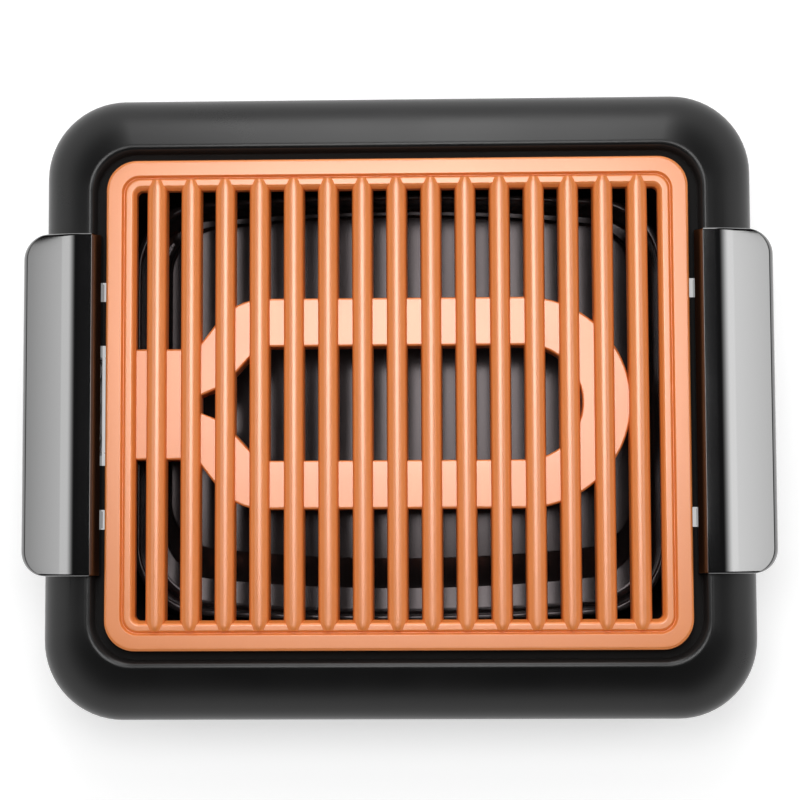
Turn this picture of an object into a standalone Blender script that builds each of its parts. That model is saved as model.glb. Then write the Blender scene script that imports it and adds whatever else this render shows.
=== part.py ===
"""Smokeless indoor grill: a moulded base with two wing handles, a lift-out drip tray and a cast grill
plate with its own heater. Metres, +Z up, origin on the table under the middle, front at -Y."""

import math

import bmesh
import bpy
from mathutils import Matrix, Vector

# Clearances
GAP = 0.0003  # between pieces that rest on each other
SLIP = 0.0003  # between a pin and its hole
OVERRUN = 0.006  # how far a cutter runs past what it cuts
SINK = 0.0006  # how far shapes that are joined reach into each other
MERGE = 0.00001  # points closer than this are one point

# Grill plate frame
PLATE_LENGTH = 0.325
PLATE_DEPTH = 0.274
PLATE_CORNER = 0.017
PLATE_THICKNESS = 0.010
PLATE_DRAFT = 0.0006
PLATE_EDGE_RADIUS = 0.0016
FRAME_FLAT = 0.0088
FRAME_GROOVE_WIDTH = 0.0028
FRAME_GROOVE_DEPTH = 0.0021
FRAME_BEAD_WIDTH = 0.0034
FRAME_BEAD_APEX = 0.0007
FRAME_SLOPE = 0.0019  # from the bead to the slots
FRAME_SLOT_EDGE_DROP = 0.0036
FRAME_SLOT_CORNER = 0.003
FRAME_SOFTENING = 0.0008

# Bars
BAR_PITCH = 0.01917
BAR_RADIUS = 0.0055
BAR_CREST_RISE = 0.0006  # above the frame's flat band
BAR_FLANK_SPREAD = 0.0005  # how much wider each flank stands at its foot
BAR_FOOT_RISE = 0.0004  # above the frame's underside
BAR_NOSE = 0.0072
BAR_NOSE_DROP = 0.0006
BAR_NOSE_SHARE = 0.3  # the nose's width at its tip

# Heater loop, cast under the bars; its places run from the frame's inner edges
LOOP_TOP_DROP = 0.005  # below the frame's flat band
LOOP_THICKNESS = 0.017
LOOP_SOFTENING = 0.0008
LOOP_LIMB_HALF = 0.0136
LOOP_LINE_Y = 0.0454
LOOP_END_SPACE = 0.0156  # from the round end to the frame
LOOP_PAD_HALF = 0.031
LOOP_PAD_LENGTH = 0.0336
LOOP_PAD_ROOT = 0.0054  # how far the pad reaches under the frame
LOOP_KNEE_ANGLE = math.radians(52.6)
LOOP_KNEE_RADIUS = 0.033
LOOP_INNER_ANGLE = math.radians(48)
LOOP_TIP_OFFSET = 0.002  # from the pad's end, like the next two
LOOP_INNER_NECK_OFFSET = 0.0155
LOOP_INNER_KNEE_OFFSET = 0.035
LOOP_TIP_HALF = 0.0046
LOOP_INNER_RADIUS = 0.008

# Heating element and its terminals
ELEMENT_RADIUS = 0.004
ELEMENT_SPACING = 0.0348
ELEMENT_BEND_RADIUS = 0.016
ELEMENT_BEND_OFFSET = -0.001  # from the pad's end
ELEMENT_DIAGONAL = 0.038
AXIS_RISE = 0.0065  # element, pins and sleeve above the loop's underside
PIN_RADIUS = 0.003
PIN_LENGTH = 0.0122
PIN_TIP_CHAMFER = 0.001
INSULATOR_RADIUS = 0.0047
INSULATOR_LENGTH = 0.005
SLEEVE_RADIUS = 0.0044
SLEEVE_BORE = 0.0032
SLEEVE_OUT = 0.012  # past the pad's face
SLEEVE_IN = 0.021  # into the pad

# Terminal guard, bent from sheet, and its screws
GUARD_SHEET = 0.0012
GUARD_DEPTH = 0.013
GUARD_SIDE_SPACE = 0.0053  # from an insulator to the guard's side
GUARD_BELOW_AXIS = 0.0105
GUARD_FLANGE = 0.0143
GUARD_FLANGE_EDGE = 0.0028
GUARD_SCREW_IN = 0.0075
GUARD_SCREW_EDGE = 0.0048  # from the pad's side
GUARD_SCREW_RADIUS = 0.0013
GUARD_SCREW_HEAD_RADIUS = 0.0030
GUARD_SCREW_HEAD = 0.0019
GUARD_SCREW_REACH = 0.0065
GUARD_SCREW_HOLE_DEPTH = 0.0075

# Base housing
PLATE_SPACE_SIDE = 0.0074  # from the plate to the recess, at the sides
PLATE_SPACE_END = 0.0060  # the same at front and back
BASE_CORNER = 0.0445
BASE_WALL = 0.0024
SKIRT_BOTTOM_Z = 0.004
SKIRT_TAPER = 0.008
SKIRT_FOOT_CORNER = 0.040
WIDEST_Z = 0.060
RIM_RISE = 0.0283  # height of the full arc that the rim's section is cut from
RIM_ARC_END = math.radians(59.5)
RIM_WIDTH = 0.0301  # widest edge to recess, at the sides
RIM_DEPTH = 0.0330  # the same at front and back
RIM_LIP_RADIUS = 0.0032
RIM_LIP_RUN = 0.0043
RECESS_CORNER = 0.023
RECESS_DRAFT = 0.001
RECESS_DEPTH = 0.0080
LEDGE_WIDTH = 0.0139
LEDGE_LIP_RADIUS = 0.0030
TUB_CORNER = 0.022
TUB_DRAFT = 0.0045
TUB_FLOOR_Z = 0.0106
TUB_FLOOR_RADIUS = 0.005
TUB_FLOOR_CORNER = 0.016
PROBE_OPENING_SPACE = 0.0036  # round the terminal guard
PROBE_OPENING_BELOW = 0.005

# Handles; their places across run from the leg's inner face
HANDLE_LENGTH = 0.1911
HANDLE_LEG_OVERLAP = 0.0043  # how far the leg stands in from the recess wall's top
HANDLE_OVERHANG = 0.0095  # past the base's widest edge
HANDLE_CREST_RISE = 0.0067  # above the rim's lip
HANDLE_CREST_RADIUS = 0.0008
HANDLE_FACE_RUN = 0.0042  # lean of the face towards the plate, over the next height
HANDLE_FACE_DROP = 0.0073
HANDLE_BEND = 0.0161
HANDLE_BEND_RADIUS = 0.025
HANDLE_TIP_DROP = 0.0072
HANDLE_TIP_RADIUS = 0.0036
HANDLE_LIP = 0.0072
HANDLE_CORNER = 0.014
HANDLE_INNER_CORNER = 0.002
HANDLE_WALL = 0.0027
HANDLE_BEAM = 0.0246  # width of the solid beam that carries the wing
SNAP_SLOT_LENGTH = 0.011
SNAP_SLOT_WIDTH = 0.0071
SNAP_SLOT_INSET = 0.03155  # from the handle's ends
SNAP_SLOT_SPACE = 0.0007  # round the tab
SNAP_TAB_WIDTH = 0.0023
SNAP_TAB_LENGTH = 0.0065

# Handle screws and the bosses that they pull together
SCREW_OFFSET = 0.0141
SCREW_INSET = 0.0158  # from the handle's ends
HANDLE_BOSS_RADIUS = 0.0039
RIM_BOSS_WALL = 0.0020
RIM_BOSS_BELOW_LIP = 0.0107
SCREW_CROWN_SHARE = 0.7  # flat middle of a screw's head
HANDLE_SCREW_HEAD_RADIUS = 0.0056
HANDLE_SCREW_HEAD = 0.0024
HANDLE_SCREW_RADIUS = 0.0015
HANDLE_SCREW_REACH = 0.0095
HANDLE_SCREW_HOLE_DEPTH = 0.0105

# Rubber feet
FOOT_INSET_SIDE = 0.0325  # from the tub floor's edge
FOOT_INSET_END = 0.0355
FOOT_RADIUS = 0.0105
FOOT_TAPER = 0.001
FOOT_CHAMFER = 0.001
FOOT_STEM_RADIUS = 0.003

# Drip tray, measured in from the tub's mouth
TRAY_SHEET = 0.001
TRAY_DEPTH = 0.0333
TRAY_SPACE_SIDE = 0.0029
TRAY_SPACE_FRONT = 0.0102
TRAY_SPACE_BACK = 0.0040
TRAY_RIM_DROP = 0.0016
TRAY_RIM_LIP = 0.0006
TRAY_RIM_WIDTH = 0.0032
TRAY_RIM_CORNER = 0.036
TRAY_RIM_BOW = 0.006
TRAY_WALL_SIDE = 0.0059
TRAY_WALL_FRONT = 0.0168
TRAY_WALL_BACK = 0.0045
TRAY_WALL_FOOT_RISE = 0.0046
TRAY_WALL_FOOT_CORNER = 0.032
TRAY_FLOOR_STEP = 0.0032  # how far the wall's foot rounds in to the channel
TRAY_CHANNEL_SIDE = 0.0107
TRAY_CHANNEL_FRONT = 0.0167
TRAY_CHANNEL_BACK = 0.0065
TRAY_PAD_RISE = 0.0042
TRAY_PAD_SLOPE = 0.0020
TRAY_PAD_CORNER = 0.026
TRAY_PAD_BOW = 0.009

# Facets
CORNER_STEPS = 6
SIDE_STEPS = 5
RIM_STEPS = 7
FILLET_STEPS = 3
BAR_STEPS = 6
ARC_STEPS = 16
ROUND_STEPS = 16
SMALL_ROUND_STEPS = 16
SHARP_ANGLE = math.radians(34)

# Worked out: base across, from the plate outwards
PLATE_HALF_X = PLATE_LENGTH / 2
PLATE_HALF_Y = PLATE_DEPTH / 2
RECESS_HALF_X = PLATE_HALF_X + PLATE_SPACE_SIDE
RECESS_HALF_Y = PLATE_HALF_Y + PLATE_SPACE_END
HALF_LENGTH = RECESS_HALF_X + RIM_WIDTH
HALF_WIDTH = RECESS_HALF_Y + RIM_DEPTH
LEDGE_INNER = RIM_WIDTH + RECESS_DRAFT + LEDGE_WIDTH
TUB_HALF_X = HALF_LENGTH - LEDGE_INNER
TUB_HALF_Y = RECESS_HALF_Y - RECESS_DRAFT - LEDGE_WIDTH
RIM_REACH = (RIM_WIDTH - RIM_LIP_RUN) / (1 - math.cos(RIM_ARC_END))

# Worked out: heights, from the rim down to the tub and up to the plate
RIM_END_Z = WIDEST_Z + RIM_RISE * math.sin(RIM_ARC_END)
RIM_END_SLOPE = RIM_RISE / RIM_REACH / math.tan(RIM_ARC_END)
LIP_Z = RIM_END_Z + RIM_LIP_RUN * RIM_END_SLOPE
LEDGE_Z = LIP_Z - RECESS_DEPTH
FLOOR_UNDERSIDE_Z = TUB_FLOOR_Z - BASE_WALL
PLATE_UNDERSIDE_Z = LEDGE_Z + GAP
PLATE_TOP_Z = PLATE_UNDERSIDE_Z + PLATE_THICKNESS
LOOP_TOP_Z = PLATE_TOP_Z - LOOP_TOP_DROP
LOOP_UNDERSIDE_Z = LOOP_TOP_Z - LOOP_THICKNESS
AXIS_Z = LOOP_UNDERSIDE_Z + AXIS_RISE

# Worked out: plate, loop and terminals
FRAME_BEAD_END = FRAME_FLAT + FRAME_GROOVE_WIDTH + FRAME_BEAD_WIDTH
FRAME_WIDTH = FRAME_BEAD_END + FRAME_SLOPE
INNER_HALF_X = PLATE_HALF_X - FRAME_WIDTH
BAR_COUNT = int(2 * INNER_HALF_X / BAR_PITCH)
LOOP_ARC_X = INNER_HALF_X - LOOP_END_SPACE - LOOP_LINE_Y - LOOP_LIMB_HALF
LOOP_PAD_X = -INNER_HALF_X + LOOP_PAD_LENGTH
LOOP_END_X = -INNER_HALF_X - LOOP_PAD_ROOT
ELEMENT_BEND_X = LOOP_PAD_X + ELEMENT_BEND_OFFSET
SLEEVE_END_X = LOOP_END_X + SLEEVE_IN
GUARD_BACK_X = LOOP_END_X - GAP
GUARD_HALF = ELEMENT_SPACING / 2 + INSULATOR_RADIUS + GUARD_SIDE_SPACE
GUARD_LOW_Z = AXIS_Z - GUARD_BELOW_AXIS
GUARD_FLANGE_Z = LOOP_UNDERSIDE_Z - GAP - GUARD_SHEET
GUARD_SCREW_X = LOOP_END_X + GUARD_SCREW_IN
GUARD_SCREW_Y = LOOP_PAD_HALF - GUARD_SCREW_EDGE

# Worked out: handles, screws and feet
HANDLE_INNER_X = RECESS_HALF_X - HANDLE_LEG_OVERLAP
HANDLE_OUTER_X = HALF_LENGTH + HANDLE_OVERHANG
HANDLE_BEND_X = HANDLE_INNER_X + HANDLE_BEND
HANDLE_BEAM_X = HANDLE_INNER_X + HANDLE_BEAM
HANDLE_HALF = HANDLE_LENGTH / 2
HANDLE_CREST_Z = LIP_Z + HANDLE_CREST_RISE
HANDLE_TIP_Z = HANDLE_CREST_Z - HANDLE_TIP_DROP
HANDLE_LOW_Z = HANDLE_TIP_Z - HANDLE_LIP
HANDLE_FOOT_Z = LEDGE_Z + GAP
WING_SLOPE = HANDLE_TIP_DROP / (HANDLE_OUTER_X - HANDLE_BEND_X)
SNAP_SLOT_OUTER_X = HANDLE_INNER_X + SNAP_TAB_WIDTH + GAP
SNAP_SLOT_INNER_X = SNAP_SLOT_OUTER_X - SNAP_SLOT_WIDTH
SNAP_SLOT_Y = HANDLE_HALF - SNAP_SLOT_INSET
SCREW_X = HANDLE_INNER_X + SCREW_OFFSET
SCREW_Y = HANDLE_HALF - SCREW_INSET
RIM_BOSS_RADIUS = HANDLE_BOSS_RADIUS + SLIP + RIM_BOSS_WALL
RIM_BOSS_LOW_Z = LIP_Z - RIM_BOSS_BELOW_LIP
HANDLE_BOSS_LOW_Z = RIM_BOSS_LOW_Z + GAP
FOOT_X = TUB_HALF_X - TUB_DRAFT - FOOT_INSET_SIDE
FOOT_Y = TUB_HALF_Y - TUB_DRAFT - FOOT_INSET_END

# Worked out: tray, as (half size across, front edge, back edge)
TRAY_FLOOR_Z = TUB_FLOOR_Z + GAP + TRAY_SHEET
TRAY_RIM_Z = TRAY_FLOOR_Z + TRAY_DEPTH
TRAY_RIM = (TUB_HALF_X - TRAY_SPACE_SIDE, TUB_HALF_Y - TRAY_SPACE_FRONT, TUB_HALF_Y - TRAY_SPACE_BACK)
TRAY_WALL = (TRAY_RIM[0] - TRAY_WALL_SIDE, TRAY_RIM[1] - TRAY_WALL_FRONT, TRAY_RIM[2] - TRAY_WALL_BACK)
TRAY_PAD = (
    TRAY_WALL[0] - TRAY_CHANNEL_SIDE,
    TRAY_WALL[1] - TRAY_CHANNEL_FRONT,
    TRAY_WALL[2] - TRAY_CHANNEL_BACK,
)


def start():
    """Empties the file and makes the two collections."""
    for item in list(bpy.data.objects):
        bpy.data.objects.remove(item, do_unlink=True)
    grill = bpy.data.collections.new("smokeless_indoor_grill")
    cutters = bpy.data.collections.new("cutters")
    for collection in (grill, cutters):
        bpy.context.scene.collection.children.link(collection)
    cutters.hide_render = True
    return grill, cutters


GRILL, CUTTERS = start()


def material(name, colour, roughness, metallic=0.0):
    """A Principled material in one colour."""
    made = bpy.data.materials.new(name)
    made.use_nodes = True
    shader = made.node_tree.nodes["Principled BSDF"]
    shader.inputs["Base Color"].default_value = (*colour, 1.0)
    shader.inputs["Roughness"].default_value = roughness
    shader.inputs["Metallic"].default_value = metallic
    made.diffuse_color = (*colour, 1.0)
    return made


MATT_BLACK = material("matt_black_moulding", (0.025, 0.025, 0.027), 0.55)
GLOSS_BLACK = material("gloss_black_moulding", (0.012, 0.012, 0.014), 0.12)
PRESSED_BLACK = material("black_coated_sheet", (0.035, 0.030, 0.032), 0.35, 0.3)
COPPER_COAT = material("copper_coloured_coat", (0.80, 0.30, 0.13), 0.38, 0.35)
ELEMENT_STEEL = material("element_steel", (0.30, 0.29, 0.28), 0.40, 1.0)
PIN_STEEL = material("plated_pin", (0.62, 0.61, 0.58), 0.22, 1.0)
SCREW_STEEL = material("zinc_plated_steel", (0.52, 0.53, 0.55), 0.30, 1.0)
GUARD_STEEL = material("guard_sheet_steel", (0.46, 0.46, 0.47), 0.36, 1.0)
CERAMIC = material("white_ceramic", (0.82, 0.80, 0.75), 0.45)
RUBBER = material("black_rubber", (0.020, 0.020, 0.020), 0.85)


def place(mesh_object, collection, surface=None):
    """Moves an object to a collection, shades it and gives it its material."""
    for owner in list(mesh_object.users_collection):
        owner.objects.unlink(mesh_object)
    collection.objects.link(mesh_object)
    if collection is CUTTERS:
        mesh_object.hide_render = True
        mesh_object.display_type = "WIRE"
    if surface:
        mesh_object.data.materials.clear()
        mesh_object.data.materials.append(surface)
    if mesh_object.type == "MESH":
        mesh_object.data.shade_smooth()
        mesh_object.data.set_sharp_from_angle(angle=SHARP_ANGLE)
    return mesh_object


def from_bmesh(name, built, collection=None, surface=None):
    """Makes an object from a bmesh, with its faces turned outwards."""
    bmesh.ops.recalc_face_normals(built, faces=built.faces[:])
    mesh = bpy.data.meshes.new(name)
    built.to_mesh(mesh)
    built.free()
    made = bpy.data.objects.new(name, mesh)
    return place(made, collection or CUTTERS, surface)


def box(name, low, high, collection=None, surface=None):
    """An upright box between two corners."""
    built = bmesh.new()
    size = [b - a for a, b in zip(low, high)]
    middle = [(a + b) / 2 for a, b in zip(low, high)]
    move = Matrix.Translation(middle) @ Matrix.Diagonal((*size, 1.0))
    bmesh.ops.create_cube(built, size=1.0, matrix=move)
    return from_bmesh(name, built, collection, surface)


def rod(name, start_point, end_point, radius, steps=SMALL_ROUND_STEPS, tip_radius=None):
    """A round cutter or stem between two points."""
    built = bmesh.new()
    along = Vector(end_point) - Vector(start_point)
    turn = Vector((0, 0, 1)).rotation_difference(along).to_matrix().to_4x4()
    middle = Vector(start_point) + along / 2
    bmesh.ops.create_cone(
        built,
        cap_ends=True,
        segments=steps,
        radius1=radius,
        radius2=radius if tip_radius is None else tip_radius,
        depth=along.length,
        matrix=Matrix.Translation(middle) @ turn,
    )
    return from_bmesh(name, built)


def turned(name, profile, centre, surface, steps=SMALL_ROUND_STEPS, along=(0, 0, 1)):
    """A turned piece: a profile of (radius, height) pairs, top to bottom, swept by a Screw modifier."""
    built = bmesh.new()
    points = [built.verts.new((radius, 0.0, height)) for radius, height in profile]
    for first, second in zip(points, points[1:]):
        built.edges.new((first, second))
    mesh = bpy.data.meshes.new(name)
    built.to_mesh(mesh)
    built.free()
    made = bpy.data.objects.new(name, mesh)
    made.location = centre
    made.rotation_euler = Vector((0, 0, 1)).rotation_difference(Vector(along)).to_euler()
    place(made, GRILL, surface)
    sweep = made.modifiers.new("turn", "SCREW")
    sweep.axis = "Z"
    sweep.steps = steps
    sweep.render_steps = steps
    sweep.use_merge_vertices = True
    sweep.merge_threshold = MERGE
    sweep.use_smooth_shade = True
    return made


def combine(target, operand, operation):
    """Adds one exact Boolean."""
    cut = target.modifiers.new(operand.name, "BOOLEAN")
    cut.object = operand
    cut.operation = operation
    cut.solver = "EXACT"


def cut_away(target, *operands):
    for operand in operands:
        combine(target, operand, "DIFFERENCE")


def join_to(target, *operands):
    for operand in operands:
        combine(target, operand, "UNION")


def fillet(before, corner, after, radius, steps):
    """Points of the arc that rounds one corner of a flat path."""
    corner = Vector(corner)
    back = (Vector(before) - corner).normalized()
    onward = (Vector(after) - corner).normalized()
    half = back.angle(onward) / 2
    reach = radius / math.tan(half)
    middle = corner + (back + onward).normalized() * (radius / math.sin(half))
    first = corner + back * reach - middle
    outward = corner - middle
    swing = math.pi - 2 * half
    turn = 1.0 if first.x * outward.y - first.y * outward.x > 0 else -1.0
    points = []
    for step in range(steps + 1):
        angle = turn * swing * step / steps
        cosine, sine = math.cos(angle), math.sin(angle)
        spoke = Vector((first.x * cosine - first.y * sine, first.x * sine + first.y * cosine))
        points.append(tuple(middle + spoke))
    return points


def rounded_path(corners, closed, steps=FILLET_STEPS):
    """A flat path through (x, y, radius) corners, each rounded by its own radius."""
    points = []
    for index, (x, y, radius) in enumerate(corners):
        at_end = not closed and index in (0, len(corners) - 1)
        if at_end or radius == 0:
            points.append((x, y))
            continue
        before = corners[index - 1][:2]
        after = corners[(index + 1) % len(corners)][:2]
        points.extend(fillet(before, (x, y), after, radius, steps))
    return points


def rounded_rectangle(half_x, half_y, radius, middle_y=0.0, bow=0.0, side_steps=1):
    """Points anticlockwise round a rectangle; bow pulls the ends of its front and back edges in."""
    points = []
    for quarter in range(4):
        sign_x = 1 if quarter in (0, 3) else -1
        sign_y = 1 if quarter in (0, 1) else -1
        arc = []
        for step in range(CORNER_STEPS + 1):
            angle = math.pi / 2 * (quarter + step / CORNER_STEPS)
            x = sign_x * (half_x - radius) + radius * math.cos(angle)
            y = sign_y * (half_y - radius) + radius * math.sin(angle)
            arc.append((x, y))
        if points:
            last = points[-1]
            for step in range(1, side_steps):
                share = step / side_steps
                points.append(tuple(a + (b - a) * share for a, b in zip(last, arc[0])))
        points.extend(arc)
    last, first = points[-1], points[0]
    for step in range(1, side_steps):
        share = step / side_steps
        points.append(tuple(a + (b - a) * share for a, b in zip(last, first)))
    bowed = []
    for x, y in points:
        pull = 1 - bow / half_y * (x / half_x) ** 2
        bowed.append((x, middle_y + y * pull))
    return bowed


def loft(name, rings, collection=None, surface=None, cap_first=False, cap_last=False, loop=False):
    """Quads between rings of equally many points; loop also joins the last ring to the first."""
    built = bmesh.new()
    rows = [[built.verts.new(point) for point in ring] for ring in rings]
    pairs = list(zip(rows, rows[1:]))
    if loop:
        pairs.append((rows[-1], rows[0]))
    for lower, upper in pairs:
        count = len(lower)
        for index in range(count):
            following = (index + 1) % count
            built.faces.new((lower[index], lower[following], upper[following], upper[index]))
    if cap_first:
        built.faces.new(list(reversed(rows[0])))
    if cap_last:
        built.faces.new(rows[-1])
    mesh = bpy.data.meshes.new(name)
    built.to_mesh(mesh)
    built.free()
    return place(bpy.data.objects.new(name, mesh), collection or CUTTERS, surface)


def prism(name, outline, low_z, high_z):
    """An upright prism on a flat outline."""
    rings = [[(x, y, z) for x, y in outline] for z in (low_z, high_z)]
    made = loft(name, rings, cap_first=True, cap_last=True)
    turn_outwards(made)
    return made


def turn_outwards(mesh_object):
    built = bmesh.new()
    built.from_mesh(mesh_object.data)
    bmesh.ops.recalc_face_normals(built, faces=built.faces[:])
    built.to_mesh(mesh_object.data)
    built.free()


def thicken(target, thickness):
    """Gives an open skin its wall, behind the side that shows."""
    wall = target.modifiers.new("wall", "SOLIDIFY")
    wall.thickness = thickness
    wall.offset = -1
    wall.use_even_offset = True


def mirrored(name, source, surface):
    """The same piece on the other side of the middle, across X."""
    made = solid_copy(name, source)
    built = bmesh.new()
    built.from_mesh(made.data)
    bmesh.ops.scale(built, vec=(-1, 1, 1), verts=built.verts[:])
    bmesh.ops.reverse_faces(built, faces=built.faces[:])
    built.to_mesh(made.data)
    built.free()
    return place(made, GRILL, surface)


def solid_copy(name, source):
    """A mesh object of a source as its modifiers leave it."""
    bpy.context.view_layer.update()
    evaluated = source.evaluated_get(bpy.context.evaluated_depsgraph_get())
    mesh = bpy.data.meshes.new_from_object(evaluated)
    mesh.name = name
    made = bpy.data.objects.new(name, mesh)
    made.matrix_world = source.matrix_world
    return made


def rim_height(inset):
    """Height of the rim's outer surface, that far in from the widest edge."""
    inset = min(inset, RIM_REACH * (1 - math.cos(RIM_ARC_END)))
    cosine = 1 - inset / RIM_REACH
    return WIDEST_Z + RIM_RISE * math.sqrt(1 - cosine**2)


def rim_section():
    """(inset, height) points of the rim's convex arc, from the widest edge inwards."""
    points = []
    for step in range(RIM_STEPS + 1):
        angle = RIM_ARC_END * step / RIM_STEPS
        points.append((RIM_REACH * (1 - math.cos(angle)), WIDEST_Z + RIM_RISE * math.sin(angle)))
    return points


def housing_section():
    """The side of the shell that shows, from the skirt's foot over the rim to the tub's floor."""
    corners = [(SKIRT_TAPER, SKIRT_BOTTOM_Z, 0)]
    corners += [(inset, z, 0) for inset, z in rim_section()]
    corners += [
        (RIM_WIDTH, LIP_Z, RIM_LIP_RADIUS),
        (RIM_WIDTH + RECESS_DRAFT, LEDGE_Z, 0),
        (LEDGE_INNER, LEDGE_Z, LEDGE_LIP_RADIUS),
        (LEDGE_INNER + TUB_DRAFT, TUB_FLOOR_Z, TUB_FLOOR_RADIUS),
        (LEDGE_INNER + TUB_DRAFT + 2 * TUB_FLOOR_RADIUS, TUB_FLOOR_Z, 0),
    ]
    return rounded_path(corners, closed=False)


def housing_ring(inset, z):
    """The shell's outline that far in from its widest edge."""
    if inset < RIM_WIDTH:
        inset_y = inset * RIM_DEPTH / RIM_WIDTH
        if z < WIDEST_Z:
            share = (WIDEST_Z - z) / (WIDEST_Z - SKIRT_BOTTOM_Z)
            radius = BASE_CORNER + (SKIRT_FOOT_CORNER - BASE_CORNER) * share
        else:
            radius = BASE_CORNER + (RECESS_CORNER - BASE_CORNER) * inset / RIM_WIDTH
    else:
        inset_y = inset + RIM_DEPTH - RIM_WIDTH
        if inset <= LEDGE_INNER:
            share = (inset - RIM_WIDTH) / (LEDGE_INNER - RIM_WIDTH)
            radius = RECESS_CORNER + (TUB_CORNER - RECESS_CORNER) * share
        else:
            share = min(1, (inset - LEDGE_INNER) / (TUB_DRAFT + TUB_FLOOR_RADIUS))
            radius = TUB_CORNER + (TUB_FLOOR_CORNER - TUB_CORNER) * share
    outline = rounded_rectangle(HALF_LENGTH - inset, HALF_WIDTH - inset_y, radius)
    return [(x, y, z) for x, y in outline]


def screw_places():
    return [
        ("left_front", -SCREW_X, -SCREW_Y),
        ("left_rear", -SCREW_X, SCREW_Y),
        ("right_front", SCREW_X, -SCREW_Y),
        ("right_rear", SCREW_X, SCREW_Y),
    ]


def foot_places():
    return [
        ("front_left", -FOOT_X, -FOOT_Y),
        ("front_right", FOOT_X, -FOOT_Y),
        ("rear_left", -FOOT_X, FOOT_Y),
        ("rear_right", FOOT_X, FOOT_Y),
    ]


def rim_boss(name, x, y):
    """A boss under the rim, whose top follows the rim's slope inside its wall."""
    boss = rod(name, (x, y, RIM_BOSS_LOW_Z), (x, y, HANDLE_CREST_Z), RIM_BOSS_RADIUS)
    for vertex in boss.data.vertices:
        if vertex.co.z > PLATE_TOP_Z:
            inset = HALF_LENGTH - abs(vertex.co.x)
            vertex.co.z = rim_height(inset) - BASE_WALL / 2
    return boss


def make_housing():
    rings = [housing_ring(inset, z) for inset, z in housing_section()]
    housing = loft("base_housing", rings, GRILL, MATT_BLACK, cap_last=True)
    thicken(housing, BASE_WALL)
    for name, x, y in screw_places():
        join_to(housing, rim_boss("rim_boss_" + name, x, y))
    for name, x, y in screw_places():
        low = (x, y, RIM_BOSS_LOW_Z - OVERRUN)
        high = (x, y, HANDLE_CREST_Z)
        cut_away(housing, rod("boss_hole_" + name, low, high, HANDLE_BOSS_RADIUS + SLIP))
    for name, x, y in foot_places():
        low = (x, y, FLOOR_UNDERSIDE_Z - OVERRUN)
        high = (x, y, TUB_FLOOR_Z + OVERRUN)
        cut_away(housing, rod("foot_hole_" + name, low, high, FOOT_STEM_RADIUS + SLIP))
    for side in (-1, 1):
        for end in (-1, 1):
            near, far = sorted((side * SNAP_SLOT_INNER_X, side * SNAP_SLOT_OUTER_X))
            low = (near, end * SNAP_SLOT_Y - SNAP_SLOT_LENGTH / 2, LEDGE_Z - BASE_WALL - OVERRUN)
            high = (far, end * SNAP_SLOT_Y + SNAP_SLOT_LENGTH / 2, LEDGE_Z + RECESS_DEPTH / 4)
            cut_away(housing, box(f"snap_slot_{side}_{end}", low, high))
    half = GUARD_HALF + PROBE_OPENING_SPACE
    low = (-HALF_LENGTH - OVERRUN, -half, GUARD_LOW_Z - PROBE_OPENING_BELOW)
    high = (-TUB_HALF_X + OVERRUN, half, PLATE_UNDERSIDE_Z)
    cut_away(housing, box("probe_opening", low, high))
    return housing


def make_foot(name, x, y):
    top = FLOOR_UNDERSIDE_Z - GAP
    stem_top = TUB_FLOOR_Z - GAP
    profile = [
        (0, stem_top),
        (FOOT_STEM_RADIUS, stem_top),
        (FOOT_STEM_RADIUS, top),
        (FOOT_RADIUS - FOOT_TAPER, top),
        (FOOT_RADIUS, FOOT_CHAMFER),
        (FOOT_RADIUS - FOOT_CHAMFER, 0),
        (0, 0),
    ]
    return turned("foot_" + name, profile, (x, y, 0), RUBBER, ROUND_STEPS)


def handle_top():
    """The wing's upper outline, from the leg's leaning face over the crest to the tip."""
    return [
        (HANDLE_INNER_X, HANDLE_CREST_Z - HANDLE_FACE_DROP, 0),
        (HANDLE_INNER_X + HANDLE_FACE_RUN, HANDLE_CREST_Z, HANDLE_CREST_RADIUS),
        (HANDLE_BEND_X, HANDLE_CREST_Z, HANDLE_BEND_RADIUS),
        (HANDLE_OUTER_X, HANDLE_TIP_Z, HANDLE_TIP_RADIUS),
    ]


def handle_seat():
    """The handle's underside, clear of the rim, its lip and the recess wall, from outside inwards."""
    shell = [Vector((HALF_LENGTH - inset, z)) for inset, z in housing_section()]
    shell = [point for point in shell if point.x > HANDLE_INNER_X and point.y > LEDGE_Z - SINK]
    seat = []
    for index, here in enumerate(shell):
        before = shell[max(index - 1, 0)]
        after = shell[min(index + 1, len(shell) - 1)]
        along = (after - before).normalized()
        seat.append(here + Vector((along.y, -along.x)) * (GAP + SLIP))
    points = []
    for before, here in zip(seat, seat[1:]):
        if before.y < HANDLE_LOW_Z < here.y and not points:
            points.append(tuple(before.lerp(here, (HANDLE_LOW_Z - before.y) / (here.y - before.y))))
        if here.y < HANDLE_FOOT_Z < before.y:
            points.append(tuple(before.lerp(here, (HANDLE_FOOT_Z - before.y) / (here.y - before.y))))
        elif points or here.y > HANDLE_LOW_Z:
            points.append(tuple(here))
    return [(x, z, 0) for x, z in points if z >= HANDLE_FOOT_Z - MERGE]


def handle_section():
    """The closed section of the handle before its hollow is cut, in (x, z)."""
    corners = [(HANDLE_INNER_X, HANDLE_FOOT_Z, 0)]
    corners += handle_top()
    corners += [(HANDLE_OUTER_X, HANDLE_LOW_Z, HANDLE_WALL / 4)]
    corners += handle_seat()
    return rounded_path(corners, closed=True, steps=FILLET_STEPS)


def extruded(name, section, half_y, collection=None, surface=None):
    """A solid of one (x, z) section, from front to back."""
    rings = [[(x, y, z) for x, z in section] for y in (-half_y, half_y)]
    made = loft(name, rings, collection, surface, cap_first=True, cap_last=True)
    turn_outwards(made)
    return made


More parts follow.
